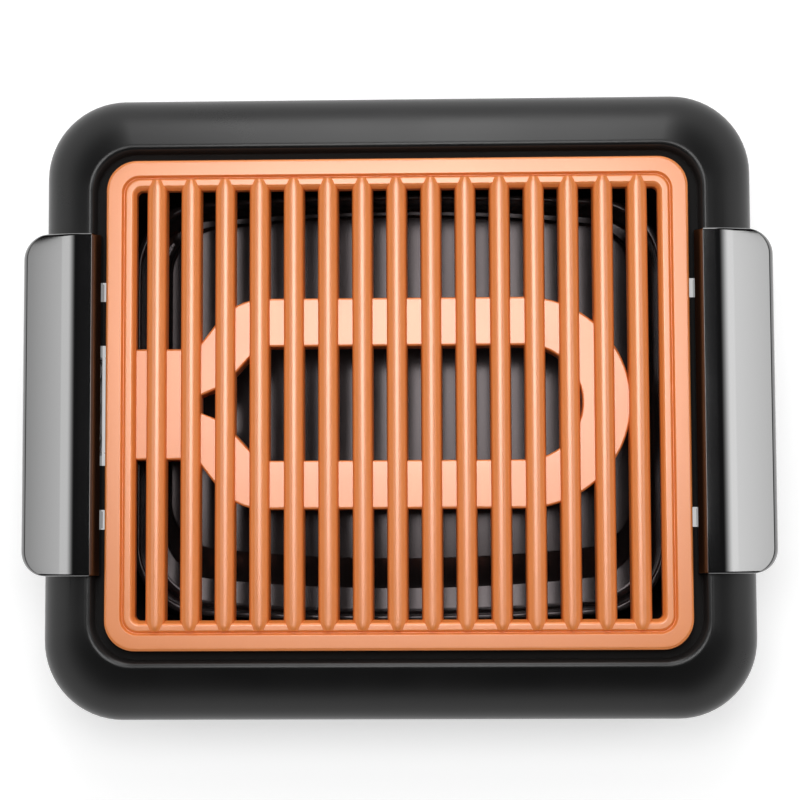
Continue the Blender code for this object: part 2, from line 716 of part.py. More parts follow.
def handle_plan(grow, inner_x):
    """The handle's outline from above, rounded at its outer corners, shrunk by grow."""
    outer = HANDLE_OUTER_X - grow
    half = HANDLE_HALF - grow
    corner = HANDLE_CORNER - grow
    corners = [
        (inner_x, -half, HANDLE_INNER_CORNER),
        (outer, -half, corner),
        (outer, half, corner),
        (inner_x, half, HANDLE_INNER_CORNER),
    ]
    return rounded_path(corners, closed=True, steps=CORNER_STEPS)


def wing_hollow():
    """The pocket under the wing, where the fingers go: open below and closed at both ends."""
    drop = HANDLE_WALL / math.cos(math.atan(WING_SLOPE))
    roof_inner = HANDLE_CREST_Z - WING_SLOPE * (HANDLE_BEAM_X - HANDLE_BEND_X) - drop
    roof_outer = HANDLE_TIP_Z + WING_SLOPE * HANDLE_WALL - drop
    outer = HANDLE_OUTER_X - HANDLE_WALL
    corners = [
        (HANDLE_BEAM_X, HANDLE_LOW_Z - OVERRUN, 0),
        (outer, HANDLE_LOW_Z - OVERRUN, 0),
        (outer, roof_outer, HANDLE_TIP_RADIUS - HANDLE_WALL),
        (HANDLE_BEAM_X, roof_inner, HANDLE_WALL / 2),
    ]
    hollow = extruded("wing_hollow_section", rounded_path(corners, closed=True), HANDLE_LENGTH)
    plan = handle_plan(HANDLE_WALL, HANDLE_BEAM_X - SINK)
    limit = prism("wing_hollow_plan", plan, HANDLE_LOW_Z - OVERRUN - SINK, HANDLE_CREST_Z)
    combine(hollow, limit, "INTERSECT")
    return hollow


def make_handles():
    right = extruded("handle_right", handle_section(), HANDLE_LENGTH, GRILL, GLOSS_BLACK)
    plan = prism("handle_plan", handle_plan(0, HANDLE_INNER_X - SINK), 0, HANDLE_CREST_Z + OVERRUN)
    combine(right, plan, "INTERSECT")
    cut_away(right, wing_hollow())
    for end in (-1, 1):
        y = end * SCREW_Y
        boss_top = HANDLE_CREST_Z - HANDLE_BOSS_RADIUS
        low = (SCREW_X, y, HANDLE_BOSS_LOW_Z)
        join_to(right, rod(f"handle_boss_{end}", low, (SCREW_X, y, boss_top), HANDLE_BOSS_RADIUS))
        tab_half = SNAP_SLOT_LENGTH / 2 - SNAP_SLOT_SPACE
        tab_low = (HANDLE_INNER_X + SLIP / 3, end * SNAP_SLOT_Y - tab_half, HANDLE_FOOT_Z - SNAP_TAB_LENGTH)
        tab_high = (HANDLE_INNER_X + SNAP_TAB_WIDTH, end * SNAP_SLOT_Y + tab_half, HANDLE_FOOT_Z + SINK)
        join_to(right, box(f"snap_tab_{end}", tab_low, tab_high))
        hole_low = (SCREW_X, y, HANDLE_BOSS_LOW_Z - OVERRUN)
        hole_high = (SCREW_X, y, HANDLE_BOSS_LOW_Z + HANDLE_SCREW_HOLE_DEPTH)
        cut_away(right, rod(f"pilot_hole_{end}", hole_low, hole_high, HANDLE_SCREW_RADIUS + SLIP))
    return right, mirrored("handle_left", right, GLOSS_BLACK)


def screw(name, x, y, seat_z, head_radius, head, radius, reach):
    """A pan-head screw driven upwards, its head just under seat_z."""
    top = seat_z - GAP
    profile = [
        (0, top + reach),
        (radius / 2, top + reach),
        (radius, top + reach - radius),
        (radius, top),
        (head_radius, top),
        (head_radius, top - head / 2),
        (head_radius * SCREW_CROWN_SHARE, top - head),
        (0, top - head),
    ]
    return turned(name, profile, (x, y, 0), SCREW_STEEL)


def tray_ring(half_x, front_y, back_y, z, corner, bow):
    half_y = (front_y + back_y) / 2
    middle_y = (back_y - front_y) / 2
    outline = rounded_rectangle(half_x, half_y, corner, middle_y, bow, SIDE_STEPS)
    return [(x, y, z) for x, y in outline]


def make_tray():
    """Pressed sheet: a flanged rim, a wall that slopes at the front, a channel and a raised pad."""
    step = TRAY_FLOOR_STEP
    flange = TRAY_RIM_WIDTH
    lip = TRAY_RIM_LIP
    wall_bow = (TRAY_RIM_BOW + TRAY_PAD_BOW) / 2
    rows = [
        (TRAY_RIM, TRAY_RIM_Z - TRAY_RIM_DROP, TRAY_RIM_CORNER, TRAY_RIM_BOW),
        ([side - lip for side in TRAY_RIM], TRAY_RIM_Z, TRAY_RIM_CORNER, TRAY_RIM_BOW),
        ([side - flange for side in TRAY_RIM], TRAY_RIM_Z, TRAY_RIM_CORNER, TRAY_RIM_BOW),
        (TRAY_WALL, TRAY_FLOOR_Z + TRAY_WALL_FOOT_RISE, TRAY_WALL_FOOT_CORNER, wall_bow),
        ([side - step / 3 for side in TRAY_WALL], TRAY_FLOOR_Z + step / 3, TRAY_WALL_FOOT_CORNER, wall_bow),
        ([side - step for side in TRAY_WALL], TRAY_FLOOR_Z, TRAY_WALL_FOOT_CORNER, wall_bow),
        ([side + TRAY_PAD_SLOPE for side in TRAY_PAD], TRAY_FLOOR_Z, TRAY_PAD_CORNER, TRAY_PAD_BOW),
        (TRAY_PAD, TRAY_FLOOR_Z + TRAY_PAD_RISE, TRAY_PAD_CORNER, TRAY_PAD_BOW),
    ]
    rings = [tray_ring(*sides, z, corner, bow) for sides, z, corner, bow in rows]
    tray = loft("drip_tray", rings, GRILL, PRESSED_BLACK, cap_last=True)
    thicken(tray, TRAY_SHEET)
    return tray


def frame_section():
    """The frame's closed section, (inset, height): flat band, groove, bead, then the slot's edge."""
    top = PLATE_TOP_Z
    low = PLATE_UNDERSIDE_Z
    groove = FRAME_FLAT + FRAME_GROOVE_WIDTH / 2
    bead = FRAME_FLAT + FRAME_GROOVE_WIDTH + FRAME_BEAD_WIDTH / 2
    soft = FRAME_SOFTENING
    corners = [
        (PLATE_DRAFT, low, 0),
        (0, top, PLATE_EDGE_RADIUS),
        (FRAME_FLAT, top, soft),
        (groove, top - FRAME_GROOVE_DEPTH, soft),
        (bead, top + FRAME_BEAD_APEX, FRAME_BEAD_WIDTH / 2),
        (FRAME_WIDTH, top - FRAME_SLOT_EDGE_DROP, FRAME_BEAD_WIDTH / 2),
        (FRAME_WIDTH, low, 0),
    ]
    return rounded_path(corners, closed=True, steps=2)


def frame_ring(inset, z):
    corner = PLATE_CORNER + (FRAME_SLOT_CORNER - PLATE_CORNER) * inset / FRAME_WIDTH
    outline = rounded_rectangle(PLATE_HALF_X - inset, PLATE_HALF_Y - inset, corner)
    return [(x, y, z) for x, y in outline]


def bar_section(drop, share):
    """A bar's closed section: a round top on flanks that widen downwards, narrowed by share."""
    crest = PLATE_TOP_Z + BAR_CREST_RISE - drop
    low = PLATE_UNDERSIDE_Z + BAR_FOOT_RISE
    half = BAR_RADIUS * share
    foot = half + BAR_FLANK_SPREAD
    points = [(-foot, low), (foot, low)]
    for step in range(BAR_STEPS + 1):
        angle = math.pi * step / BAR_STEPS
        points.append((half * math.cos(angle), crest - BAR_RADIUS * (1 - math.sin(angle))))
    return points


def make_bar(index):
    """One bar, which runs over the bead and ends in a narrow nose in the frame's groove."""
    middle = (index - (BAR_COUNT - 1) / 2) * BAR_PITCH
    end = PLATE_HALF_Y - FRAME_FLAT - FRAME_GROOVE_WIDTH / 2
    stations = [
        (-end, BAR_NOSE_DROP, BAR_NOSE_SHARE),
        (-end + BAR_NOSE, 0, 1),
        (end - BAR_NOSE, 0, 1),
        (end, BAR_NOSE_DROP, BAR_NOSE_SHARE),
    ]
    rings = [[(middle + x, y, z) for x, z in bar_section(drop, share)] for y, drop, share in stations]
    bar = loft(f"bar_{index + 1}", rings, cap_first=True, cap_last=True)
    turn_outwards(bar)
    return bar


def loop_outer():
    """Half of the loop's outer outline, from the pad's end to the round end's apex."""
    outer_y = LOOP_LINE_Y + LOOP_LIMB_HALF
    rise = outer_y - LOOP_PAD_HALF
    knee_x = LOOP_PAD_X + rise / math.tan(LOOP_KNEE_ANGLE)
    corners = [
        (LOOP_END_X, LOOP_PAD_HALF, 0),
        (LOOP_PAD_X, LOOP_PAD_HALF, 0),
        (knee_x, outer_y, LOOP_KNEE_RADIUS),
        (LOOP_ARC_X, outer_y, 0),
    ]
    points = rounded_path(corners, closed=False, steps=5)
    return points + round_end(outer_y)


def round_end(radius):
    """Points of a quarter of the round end, past its start and short of its apex."""
    points = []
    for step in range(1, ARC_STEPS // 2 + 1):
        angle = math.pi / 2 * (1 - step / (ARC_STEPS // 2))
        points.append((LOOP_ARC_X + radius * math.cos(angle), radius * math.sin(angle)))
    return points


def loop_inner():
    """Half of the loop's inner outline, from the blunt tip at the pad to the round end's apex."""
    inner_y = LOOP_LINE_Y - LOOP_LIMB_HALF
    neck_run = LOOP_INNER_KNEE_OFFSET - LOOP_INNER_NECK_OFFSET
    neck_y = inner_y - neck_run * math.tan(LOOP_INNER_ANGLE)
    corners = [
        (LOOP_PAD_X + LOOP_TIP_OFFSET, LOOP_TIP_HALF, 0),
        (LOOP_PAD_X + LOOP_INNER_NECK_OFFSET, neck_y, LOOP_INNER_RADIUS),
        (LOOP_PAD_X + LOOP_INNER_KNEE_OFFSET, inner_y, LOOP_INNER_RADIUS),
        (LOOP_ARC_X, inner_y, 0),
    ]
    return rounded_path(corners, closed=False) + round_end(inner_y)


def whole_outline(half):
    """Both halves of an outline that is symmetric about the X axis."""
    other = [(x, -y) for x, y in reversed(half) if abs(y) > MERGE]
    return half + other


def make_loop():
    """The cast loop: a flat curve with a hole, extruded, with its edges softened."""
    curve = bpy.data.curves.new("heater_loop", "CURVE")
    curve.dimensions = "2D"
    curve.fill_mode = "BOTH"
    curve.extrude = LOOP_THICKNESS / 2 - LOOP_SOFTENING
    curve.bevel_depth = LOOP_SOFTENING
    curve.bevel_resolution = 0
    curve.offset = -LOOP_SOFTENING
    for half in (loop_outer(), loop_inner()):
        outline = whole_outline(half)
        spline = curve.splines.new("POLY")
        spline.points.add(len(outline) - 1)
        for point, (x, y) in zip(spline.points, outline):
            point.co = (x, y, 0, 1)
        spline.use_cyclic_u = True
    flat = bpy.data.objects.new("heater_loop_outline", curve)
    flat.location.z = LOOP_UNDERSIDE_Z + LOOP_THICKNESS / 2
    CUTTERS.objects.link(flat)
    made = solid_copy("heater_loop", flat)
    built = bmesh.new()
    built.from_mesh(made.data)
    bmesh.ops.remove_doubles(built, verts=built.verts[:], dist=MERGE)
    bmesh.ops.transform(built, matrix=made.matrix_world, verts=built.verts[:])
    bmesh.ops.recalc_face_normals(built, faces=built.faces[:])
    built.to_mesh(made.data)
    built.free()
    made.matrix_world = Matrix.Identity(4)
    bpy.data.objects.remove(flat, do_unlink=True)
    return place(made, CUTTERS)


def element_line(start_x):
    """The element's centre line, from one terminal round the loop to the other."""
    pin_y = ELEMENT_SPACING / 2
    corners = [
        (start_x, pin_y, 0),
        (ELEMENT_BEND_X, pin_y, ELEMENT_BEND_RADIUS),
        (ELEMENT_BEND_X + ELEMENT_DIAGONAL, LOOP_LINE_Y, ELEMENT_BEND_RADIUS),
        (LOOP_ARC_X, LOOP_LINE_Y, 0),
    ]
    half = rounded_path(corners, closed=False) + round_end(LOOP_LINE_Y)
    return whole_outline(half)


def groove_cutter():
    """A round-topped slot along the element's line, open at the loop's underside."""
    line = element_line(LOOP_END_X - OVERRUN)
    width = ELEMENT_RADIUS + SLIP
    low = LOOP_UNDERSIDE_Z - OVERRUN
    section = [(-width, low), (width, low)]
    steps = BAR_STEPS
    for step in range(steps + 1):
        angle = math.pi * step / steps
        section.append((width * math.cos(angle), AXIS_Z + width * math.sin(angle)))
    rings = []
    for index, point in enumerate(line):
        before = Vector(line[max(index - 1, 0)])
        after = Vector(line[min(index + 1, len(line) - 1)])
        here = Vector(point)
        along = (after - before).normalized()
        first = (here - before).normalized() if index else along
        across = Vector((along.y, -along.x)) / along.dot(first)
        rings.append([(here.x + across.x * s, here.y + across.y * s, z) for s, z in section])
    cutter = loft("element_groove", rings, cap_first=True, cap_last=True)
    turn_outwards(cutter)
    return cutter


def make_plate():
    """The casting: frame, bars and heater loop as one body, with what the terminals need cut out."""
    rings = [frame_ring(inset, z) for inset, z in frame_section()]
    plate = loft("grill_plate", rings, GRILL, COPPER_COAT, loop=True)
    turn_outwards(plate)
    casting = bpy.data.collections.new("casting_shapes")
    CUTTERS.children.link(casting)
    casting.hide_render = True
    for shape in [make_loop()] + [make_bar(index) for index in range(BAR_COUNT)]:
        CUTTERS.objects.unlink(shape)
        casting.objects.link(shape)
    union = plate.modifiers.new("casting", "BOOLEAN")
    union.operand_type = "COLLECTION"
    union.collection = casting
    union.operation = "UNION"
    union.solver = "EXACT"
    cut_away(plate, groove_cutter())
    bore_start = (LOOP_END_X - OVERRUN, 0, AXIS_Z)
    bore_end = (SLEEVE_END_X + SLIP, 0, AXIS_Z)
    cut_away(plate, rod("sleeve_bore", bore_start, bore_end, SLEEVE_RADIUS + SLIP))
    for name, y in guard_screw_places():
        low = (GUARD_SCREW_X, y, LOOP_UNDERSIDE_Z - OVERRUN)
        high = (GUARD_SCREW_X, y, GUARD_FLANGE_Z + GUARD_SCREW_HOLE_DEPTH)
        cut_away(plate, rod("plate_hole_" + name, low, high, GUARD_SCREW_RADIUS + SLIP))
    return plate


def make_element():
    """The heater tube, from end to end along its groove."""
    line = element_line(LOOP_END_X + SLIP)
    curve = bpy.data.curves.new("heating_element", "CURVE")
    curve.dimensions = "3D"
    curve.bevel_depth = ELEMENT_RADIUS
    curve.bevel_resolution = 2
    curve.use_fill_caps = True
    spline = curve.splines.new("POLY")
    spline.points.add(len(line) - 1)
    for point, (x, y) in zip(spline.points, line):
        point.co = (x, y, AXIS_Z, 1)
    curve.materials.append(ELEMENT_STEEL)
    element = bpy.data.objects.new("heating_element", curve)
    GRILL.objects.link(element)
    return element


def terminal_places():
    return [("front", -ELEMENT_SPACING / 2), ("rear", ELEMENT_SPACING / 2)]


def make_pin(name, y):
    length = PIN_LENGTH
    profile = [
        (0, length),
        (PIN_RADIUS - PIN_TIP_CHAMFER, length),
        (PIN_RADIUS, length - PIN_TIP_CHAMFER),
        (PIN_RADIUS, 0),
        (0, 0),
    ]
    place_at = (LOOP_END_X - GAP, y, AXIS_Z)
    return turned("terminal_pin_" + name, profile, place_at, PIN_STEEL, along=(-1, 0, 0))


def make_insulator(name, y):
    """A ceramic ring on the pin, through the guard's back wall."""
    bore = PIN_RADIUS + SLIP
    profile = [
        (bore, INSULATOR_LENGTH),
        (INSULATOR_RADIUS, INSULATOR_LENGTH),
        (INSULATOR_RADIUS, 0),
        (bore, 0),
        (bore, INSULATOR_LENGTH),
    ]
    place_at = (LOOP_END_X - GAP, y, AXIS_Z)
    return turned("insulator_" + name, profile, place_at, CERAMIC, along=(-1, 0, 0))


def make_sleeve():
    length = SLEEVE_IN + SLEEVE_OUT
    profile = [
        (SLEEVE_BORE, length),
        (SLEEVE_RADIUS, length),
        (SLEEVE_RADIUS, 0),
        (SLEEVE_BORE, 0),
        (SLEEVE_BORE, length),
    ]
    place_at = (SLEEVE_END_X, 0, AXIS_Z)
    return turned("probe_sleeve", profile, place_at, PIN_STEEL, along=(-1, 0, 0))


def guard_screw_places():
    return [("front", -GUARD_SCREW_Y), ("rear", GUARD_SCREW_Y)]


def make_guard():
    """A sheet box round the pins, open towards the thermostat, with a flange under the pad."""
    back_x = GUARD_BACK_X
    sheet = GUARD_SHEET
    high_z = PLATE_UNDERSIDE_Z - GAP - GAP
    mouth_x = back_x - GUARD_DEPTH
    low = (mouth_x, -GUARD_HALF, GUARD_LOW_Z)
    guard = box("terminal_guard", low, (back_x, GUARD_HALF, high_z), GRILL, GUARD_STEEL)
    flange_half = GUARD_HALF + GUARD_FLANGE_EDGE
    flange_low = (back_x - sheet / 2, -flange_half, GUARD_FLANGE_Z)
    flange_high = (back_x + GUARD_FLANGE, flange_half, GUARD_FLANGE_Z + sheet)
    join_to(guard, box("guard_flange", flange_low, flange_high))
    inner_low = (mouth_x - OVERRUN, -GUARD_HALF + sheet, GUARD_LOW_Z + sheet)
    inner_high = (back_x - sheet, GUARD_HALF - sheet, high_z + OVERRUN)
    cut_away(guard, box("guard_inside", inner_low, inner_high))
    ways = [(0.0, SLEEVE_RADIUS + SLIP)]
    ways += [(y, INSULATOR_RADIUS + SLIP) for _, y in terminal_places()]
    for index, (y, radius) in enumerate(ways):
        start_point = (back_x - OVERRUN, y, AXIS_Z)
        end_point = (back_x + OVERRUN, y, AXIS_Z)
        cut_away(guard, rod(f"guard_way_{index}", start_point, end_point, radius))
    for name, y in guard_screw_places():
        hole_low = (GUARD_SCREW_X, y, GUARD_FLANGE_Z - OVERRUN)
        hole_high = (GUARD_SCREW_X, y, GUARD_FLANGE_Z + OVERRUN)
        cut_away(guard, rod("guard_hole_" + name, hole_low, hole_high, GUARD_SCREW_RADIUS + SLIP))
    return guard


def build():
    make_housing()
    for name, x, y in foot_places():
        make_foot(name, x, y)
    make_handles()
    for name, x, y in screw_places():
        screw(
            "handle_screw_" + name,
            x,
            y,
            RIM_BOSS_LOW_Z,
            HANDLE_SCREW_HEAD_RADIUS,
            HANDLE_SCREW_HEAD,
            HANDLE_SCREW_RADIUS,
            HANDLE_SCREW_REACH,
        )
    make_tray()
    make_plate()
    make_element()
    for name, y in terminal_places():
        make_pin(name, y)
        make_insulator(name, y)
    make_sleeve()
    make_guard()
    for name, y in guard_screw_places():
        screw(
            "guard_screw_" + name,
            GUARD_SCREW_X,
            y,
            GUARD_FLANGE_Z,
            GUARD_SCREW_HEAD_RADIUS,
            GUARD_SCREW_HEAD,
            GUARD_SCREW_RADIUS,
            GUARD_SCREW_REACH,
        )


build()
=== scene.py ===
import math

import bmesh
import bpy
from mathutils import Matrix, Vector


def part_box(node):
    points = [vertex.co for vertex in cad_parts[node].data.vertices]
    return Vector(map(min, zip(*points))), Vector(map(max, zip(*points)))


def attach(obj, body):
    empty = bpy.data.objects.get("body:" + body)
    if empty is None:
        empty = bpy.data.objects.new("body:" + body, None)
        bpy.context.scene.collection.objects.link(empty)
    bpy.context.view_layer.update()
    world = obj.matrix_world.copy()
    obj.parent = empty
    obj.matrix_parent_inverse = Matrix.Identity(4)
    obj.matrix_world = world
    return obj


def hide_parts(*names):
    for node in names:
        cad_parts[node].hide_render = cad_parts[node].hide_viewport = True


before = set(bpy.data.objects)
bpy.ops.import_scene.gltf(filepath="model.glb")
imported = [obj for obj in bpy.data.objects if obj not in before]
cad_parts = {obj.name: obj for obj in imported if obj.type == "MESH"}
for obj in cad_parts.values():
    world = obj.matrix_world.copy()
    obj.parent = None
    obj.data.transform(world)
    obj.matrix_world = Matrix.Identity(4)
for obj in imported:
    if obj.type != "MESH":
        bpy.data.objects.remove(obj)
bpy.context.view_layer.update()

gap = 0.0003      # between pieces that rest on each other
slip = 0.0003     # round a pin in its hole
overrun = 0.006   # how far a cutter runs past what it cuts
mergeDistance = 0.00001
smoothAngle = math.radians(32)


# Grill plate: sizes that the base follows

plate = {
    "halfX": 0.1625,
    "halfY": 0.137,
    "corner": 0.017,
    "thickness": 0.010,
    "draft": 0.0006,
    "edge": 0.0016,
    "flat": 0.0088,
    "groove": 0.0023,
    "grooveDepth": 0.0021,
    "bead": 0.0038,
    "beadDrop": 0.0008,
    "width": 0.0169,
    "slotDrop": 0.0036,
    "slotCorner": 0.003,
    "low": 0.0006,                # roundings: underside, groove, bead, bead's inner edge
    "soft": 0.0004,
    "beadSoft": 0.0012,
    "innerSoft": 0.0020,
}

# Base housing: its sizes come first, because its finish follows the recess

base = {
    "spaceX": 0.0074,
    "spaceY": 0.0060,
    "corner": 0.0445,
    "wall": 0.0024,
    "skirtZ": 0.004,
    "skirtTaper": 0.008,
    "skirtCorner": 0.040,
    "widestZ": 0.060,
    "rimRise": 0.0283,
    "rimArc": math.radians(59.5),
    "rimX": 0.0301,
    "rimY": 0.0330,
    "lipRun": 0.0043,
    "lip": 0.0032,
    "recessCorner": 0.023,
    "recessDraft": 0.001,
    "recessDepth": 0.008,
    "ledge": 0.0139,
    "ledgeLip": 0.003,
    "tubCorner": 0.022,
    "tubDraft": 0.0045,
    "floorZ": 0.0106,
    "floorRound": 0.005,
    "floorCorner": 0.016,
    "rimSteps": 26,
    "ledgeRound": 0.0009,
    "footIn": (0.0325, 0.0355),   # from the tub's wall to a foot
    "footHole": 0.0033,
    "slotX": (0.0026, -0.0045),   # from the handle's inner face
    "slotY": 0.0055,
    "slotZ": (-0.009, 0.002),     # from the ledge
    "opening": (0.0036, 0.005),   # beside and below the terminal guard
}
recessX = plate["halfX"] + base["spaceX"]
recessY = plate["halfY"] + base["spaceY"]


# Node graphs: one class for sums on sockets, one for any other node

class Wire:
    def __init__(self, graph, socket):
        self.graph = graph
        self.socket = socket

    def sum(self, operation, first, second):
        return self.graph.node("ShaderNodeMath", {0: first, 1: second}, operation=operation)

    def __add__(self, other):
        return self.sum("ADD", self, other)

    def __sub__(self, other):
        return self.sum("SUBTRACT", self, other)

    def __rsub__(self, other):
        return self.sum("SUBTRACT", other, self)

    def __mul__(self, other):
        return self.sum("MULTIPLY", self, other)

    def __pow__(self, other):
        return self.sum("POWER", self, other)

    def __abs__(self):
        return self.graph.node("ShaderNodeMath", {0: self}, operation="ABSOLUTE")

    __radd__ = __add__
    __rmul__ = __mul__


class Graph:
    def __init__(self, tree):
        self.tree = tree

    def feed(self, socket, value):
        if isinstance(value, Wire):
            self.tree.links.new(value.socket, socket)
        elif isinstance(value, (tuple, list)) and len(value) == 3 and socket.type == "RGBA":
            socket.default_value = (*value, 1.0)
        else:
            socket.default_value = value

    def node(self, kind, values=None, out=0, **settings):
        made = self.tree.nodes.new(kind)
        for key, value in settings.items():
            setattr(made, key, value)
        for key, value in (values or {}).items():
            self.feed(made.inputs[key], value)
        if out == "each":
            return {socket.name: Wire(self, socket) for socket in made.outputs}
        return Wire(self, made.outputs[out])

    def axes(self, vector):
        return self.node("ShaderNodeSeparateXYZ", {0: vector}, "each")

    def spread(self, wire, low, high, start=0.3, end=0.7):
        values = {"Value": wire, "From Min": start, "From Max": end, "To Min": low, "To Max": high}
        return self.node("ShaderNodeMapRange", values)

    def rise(self, wire, end, start=0.0):         # smooth, from start at 0 to 1 at end
        values = {"Value": wire, "From Min": 0.0, "From Max": end, "To Min": start, "To Max": 1.0}
        return self.node("ShaderNodeMapRange", values, interpolation_type="SMOOTHSTEP")

    def seen(self):                               # the rays that see the white background, all alike
        rays = self.node("ShaderNodeLightPath", out="each")
        return rays["Is Camera Ray"] + rays["Is Glossy Ray"] + rays["Is Transmission Ray"]


# Finishes

class Finish(Graph):
    def __init__(self, name, fixed):
        self.material = bpy.data.materials.new(name)
        self.material.use_nodes = True
        super().__init__(self.material.node_tree)
        self.shader = self.tree.nodes["Principled BSDF"]
        self.place = self.node("ShaderNodeTexCoord", out="Object")
        for key, value in fixed.items():
            self.feed(self.shader.inputs[key], value)

    def drive(self, **sockets):
        for key, value in sockets.items():
            self.feed(self.shader.inputs[key.replace("_", " ")], value)
        return self.material

    def noise(self, size, detail=2.0, rough=0.5, stretch=None):
        place = self.place
        if stretch:
            place = self.node("ShaderNodeMapping", {"Vector": place, "Scale": stretch})
        values = {"Vector": place, "Scale": 1 / size, "Detail": detail, "Roughness": rough}
        return self.node("ShaderNodeTexNoise", values)

    def mix(self, factor, first, second):
        values = {"Factor": factor, 6: first, 7: second}
        return self.node("ShaderNodeMix", values, 2, data_type="RGBA")

    def bump(self, height, distance, strength):
        return self.node("ShaderNodeBump", {"Height": height, "Distance": distance, "Strength": strength})


mouldingLook = {
    "IOR": 1.46,
    "colour": (0.0040, 0.0040, 0.0042),
    "worn": (0.0058, 0.0057, 0.0059),
    "roughness": (0.27, 0.33),
    "grain": 0.00055,
    "grainDepth": 0.000030,
    # painted shade: a darker colour in the recess round the plate, where the plate and the rim shade it
    "recess": (0.0026, 0.0025, 0.0026),
    "recessRoughness": 0.85,
    "recessFade": 0.0006,
}


# Mask of the recess round the plate, where the moulding gets painted shade (a darker colour) and a matte
# roughness
def insideRecess(finish):
    axes = finish.axes(finish.place)
    past = []
    for axis, half in (("X", recessX), ("Y", recessY)):
        beyond = abs(axes[axis]) - (half - base["recessCorner"])
        past.append(beyond.sum("MAXIMUM", beyond, 0.0))
    away = (past[0] ** 2.0 + past[1] ** 2.0) ** 0.5 - base["recessCorner"]
    return finish.spread(away, 1, 0, 0.0, mouldingLook["recessFade"])


def makeMoulding():
    look = mouldingLook
    finish = Finish("satinBlackMoulding", {"IOR": look["IOR"]})
    grain = finish.noise(look["grain"], 3.0, 0.6)
    clouds = finish.noise(0.05, 2.0)
    colour = finish.mix(finish.spread(clouds, 0, 1), look["colour"], look["worn"])
    rough = finish.spread(clouds * 0.7 + grain * 0.3, *look["roughness"])
    inside = insideRecess(finish)
    # painted shade: the recess takes the darker colour
    colour = finish.mix(inside, colour, look["recess"])
    rough = rough + (look["recessRoughness"] - rough) * inside
    normal = finish.bump(grain, look["grainDepth"], 0.55)
    return finish.drive(Base_Color=colour, Roughness=rough, Normal=normal)


glossLook = {
    "IOR": 1.60,
    "colour": (0.0022, 0.0022, 0.0024),
    "roughness": (0.045, 0.075),
    "coatIOR": 2.5,
    "innerCoat": 0.12,            # the face towards the plate isn't polished
    "coatEdge": (-0.0005, 0.0002),                # from the recess wall, where the coat comes in
    "coatRoughness": 0.05,
    "smudge": 0.035,
    "ripple": 0.014,
    "rippleDepth": 0.000012,
}


def makeGloss():
    look = glossLook
    fixed = {"IOR": look["IOR"], "Coat IOR": look["coatIOR"], "Coat Roughness": look["coatRoughness"]}
    finish = Finish("glossBlackMoulding", fixed)
    smudge = finish.noise(look["smudge"], 4.0, 0.6)
    dust = finish.noise(0.0011, 1.0)
    specks = finish.spread(dust, 0, 1, 0.74, 0.80)
    colour = finish.mix(specks * 0.25, look["colour"], (0.02, 0.02, 0.02))
    rough = finish.spread(smudge, *look["roughness"]) + specks * 0.05
    normal = finish.bump(finish.noise(look["ripple"], 1.0), look["rippleDepth"], 0.35)
    across = abs(finish.axes(finish.place)["X"])
    coat = finish.spread(across, look["innerCoat"], 1, *(recessX + edge for edge in look["coatEdge"]))
    return finish.drive(Base_Color=colour, Roughness=rough, Normal=normal, Coat_Weight=coat)


copperLook = {
    "IOR": 1.45,
    "colour": (0.800, 0.240, 0.049),
    "deep": (0.770, 0.222, 0.043),
    "fleck": (0.860, 0.320, 0.110),
    "metallic": 0.25,
    "roughness": (0.36, 0.46),
    "coatRoughness": 0.30,
    "coatIOR": 1.97,
    "flank": 0.22,                # coat left where a surface leans, as on the bars' flanks
    "facing": (0.945, 0.985),     # upward part of the normal over which the coat comes in
    "flake": 0.00060,
    "skin": 0.0005,
    "skinDepth": 0.000002,
    "castDepth": 2.2,             # times as deep on the casting
}


def makeCopper(name, grainDepth):
    look = copperLook
    fixed = {"Metallic": look["metallic"], "IOR": look["IOR"]}
    fixed.update({"Coat Roughness": look["coatRoughness"], "Coat IOR": look["coatIOR"]})
    finish = Finish(name, fixed)
    clouds = finish.noise(0.045, 3.0, 0.55)
    flakes = finish.spread(finish.noise(look["flake"], 1.0), 0, 1, 0.60, 0.72)
    colour = finish.mix(finish.spread(clouds, 0, 1), look["deep"], look["colour"])
    colour = finish.mix(flakes * 0.22, colour, look["fleck"])
    rough = finish.spread(clouds, *look["roughness"]) - flakes * 0.06
    skin = finish.noise(look["skin"], 3.0, 0.6)
    normal = finish.bump(skin, grainDepth, 0.5)
    facing = finish.axes(finish.node("ShaderNodeTexCoord", out="Normal"))["Z"]
    coat = finish.spread(facing, look["flank"], 1, *look["facing"])
    return finish.drive(Base_Color=colour, Roughness=rough, Normal=normal, Coat_Weight=coat)


sheetLook = {
    "colour": (0.044, 0.034, 0.035),
    "light": (0.060, 0.047, 0.048),
    "metallic": 0.55,
    "roughness": (0.14, 0.20),
    "peel": 0.0030,
    "peelDepth": 0.000009,
}


def makeTraySheet():
    look = sheetLook
    finish = Finish("darkCoatedSheet", {"Metallic": look["metallic"], "IOR": 1.5})
    clouds = finish.noise(0.07, 3.0)
    flecks = finish.spread(finish.noise(0.0008, 1.0), 0, 1, 0.62, 0.72)
    colour = finish.mix(finish.spread(clouds, 0, 1), look["colour"], look["light"])
    colour = finish.mix(flecks * 0.25, colour, (0.12, 0.10, 0.10))
    rough = finish.spread(clouds, *look["roughness"])
    normal = finish.bump(finish.noise(look["peel"], 2.0), look["peelDepth"], 0.5)
    return finish.drive(Base_Color=colour, Roughness=rough, Normal=normal)


def makePlain(name, colour, stained, roughness, grain, depth, stretch=None, metallic=1.0):
    finish = Finish(name, {"Metallic": metallic, "IOR": 1.5})
    stains = finish.noise(0.012, 3.0, 0.6)
    lines = finish.noise(grain, 2.0, 0.6, stretch)
    tint = finish.mix(finish.spread(stains, 0, 1, 0.35, 0.68), colour, stained)
    rough = finish.spread(stains * 0.5 + lines * 0.5, *roughness)
    normal = finish.bump(lines, depth, 0.5)
    return finish.drive(Base_Color=tint, Roughness=rough, Normal=normal)


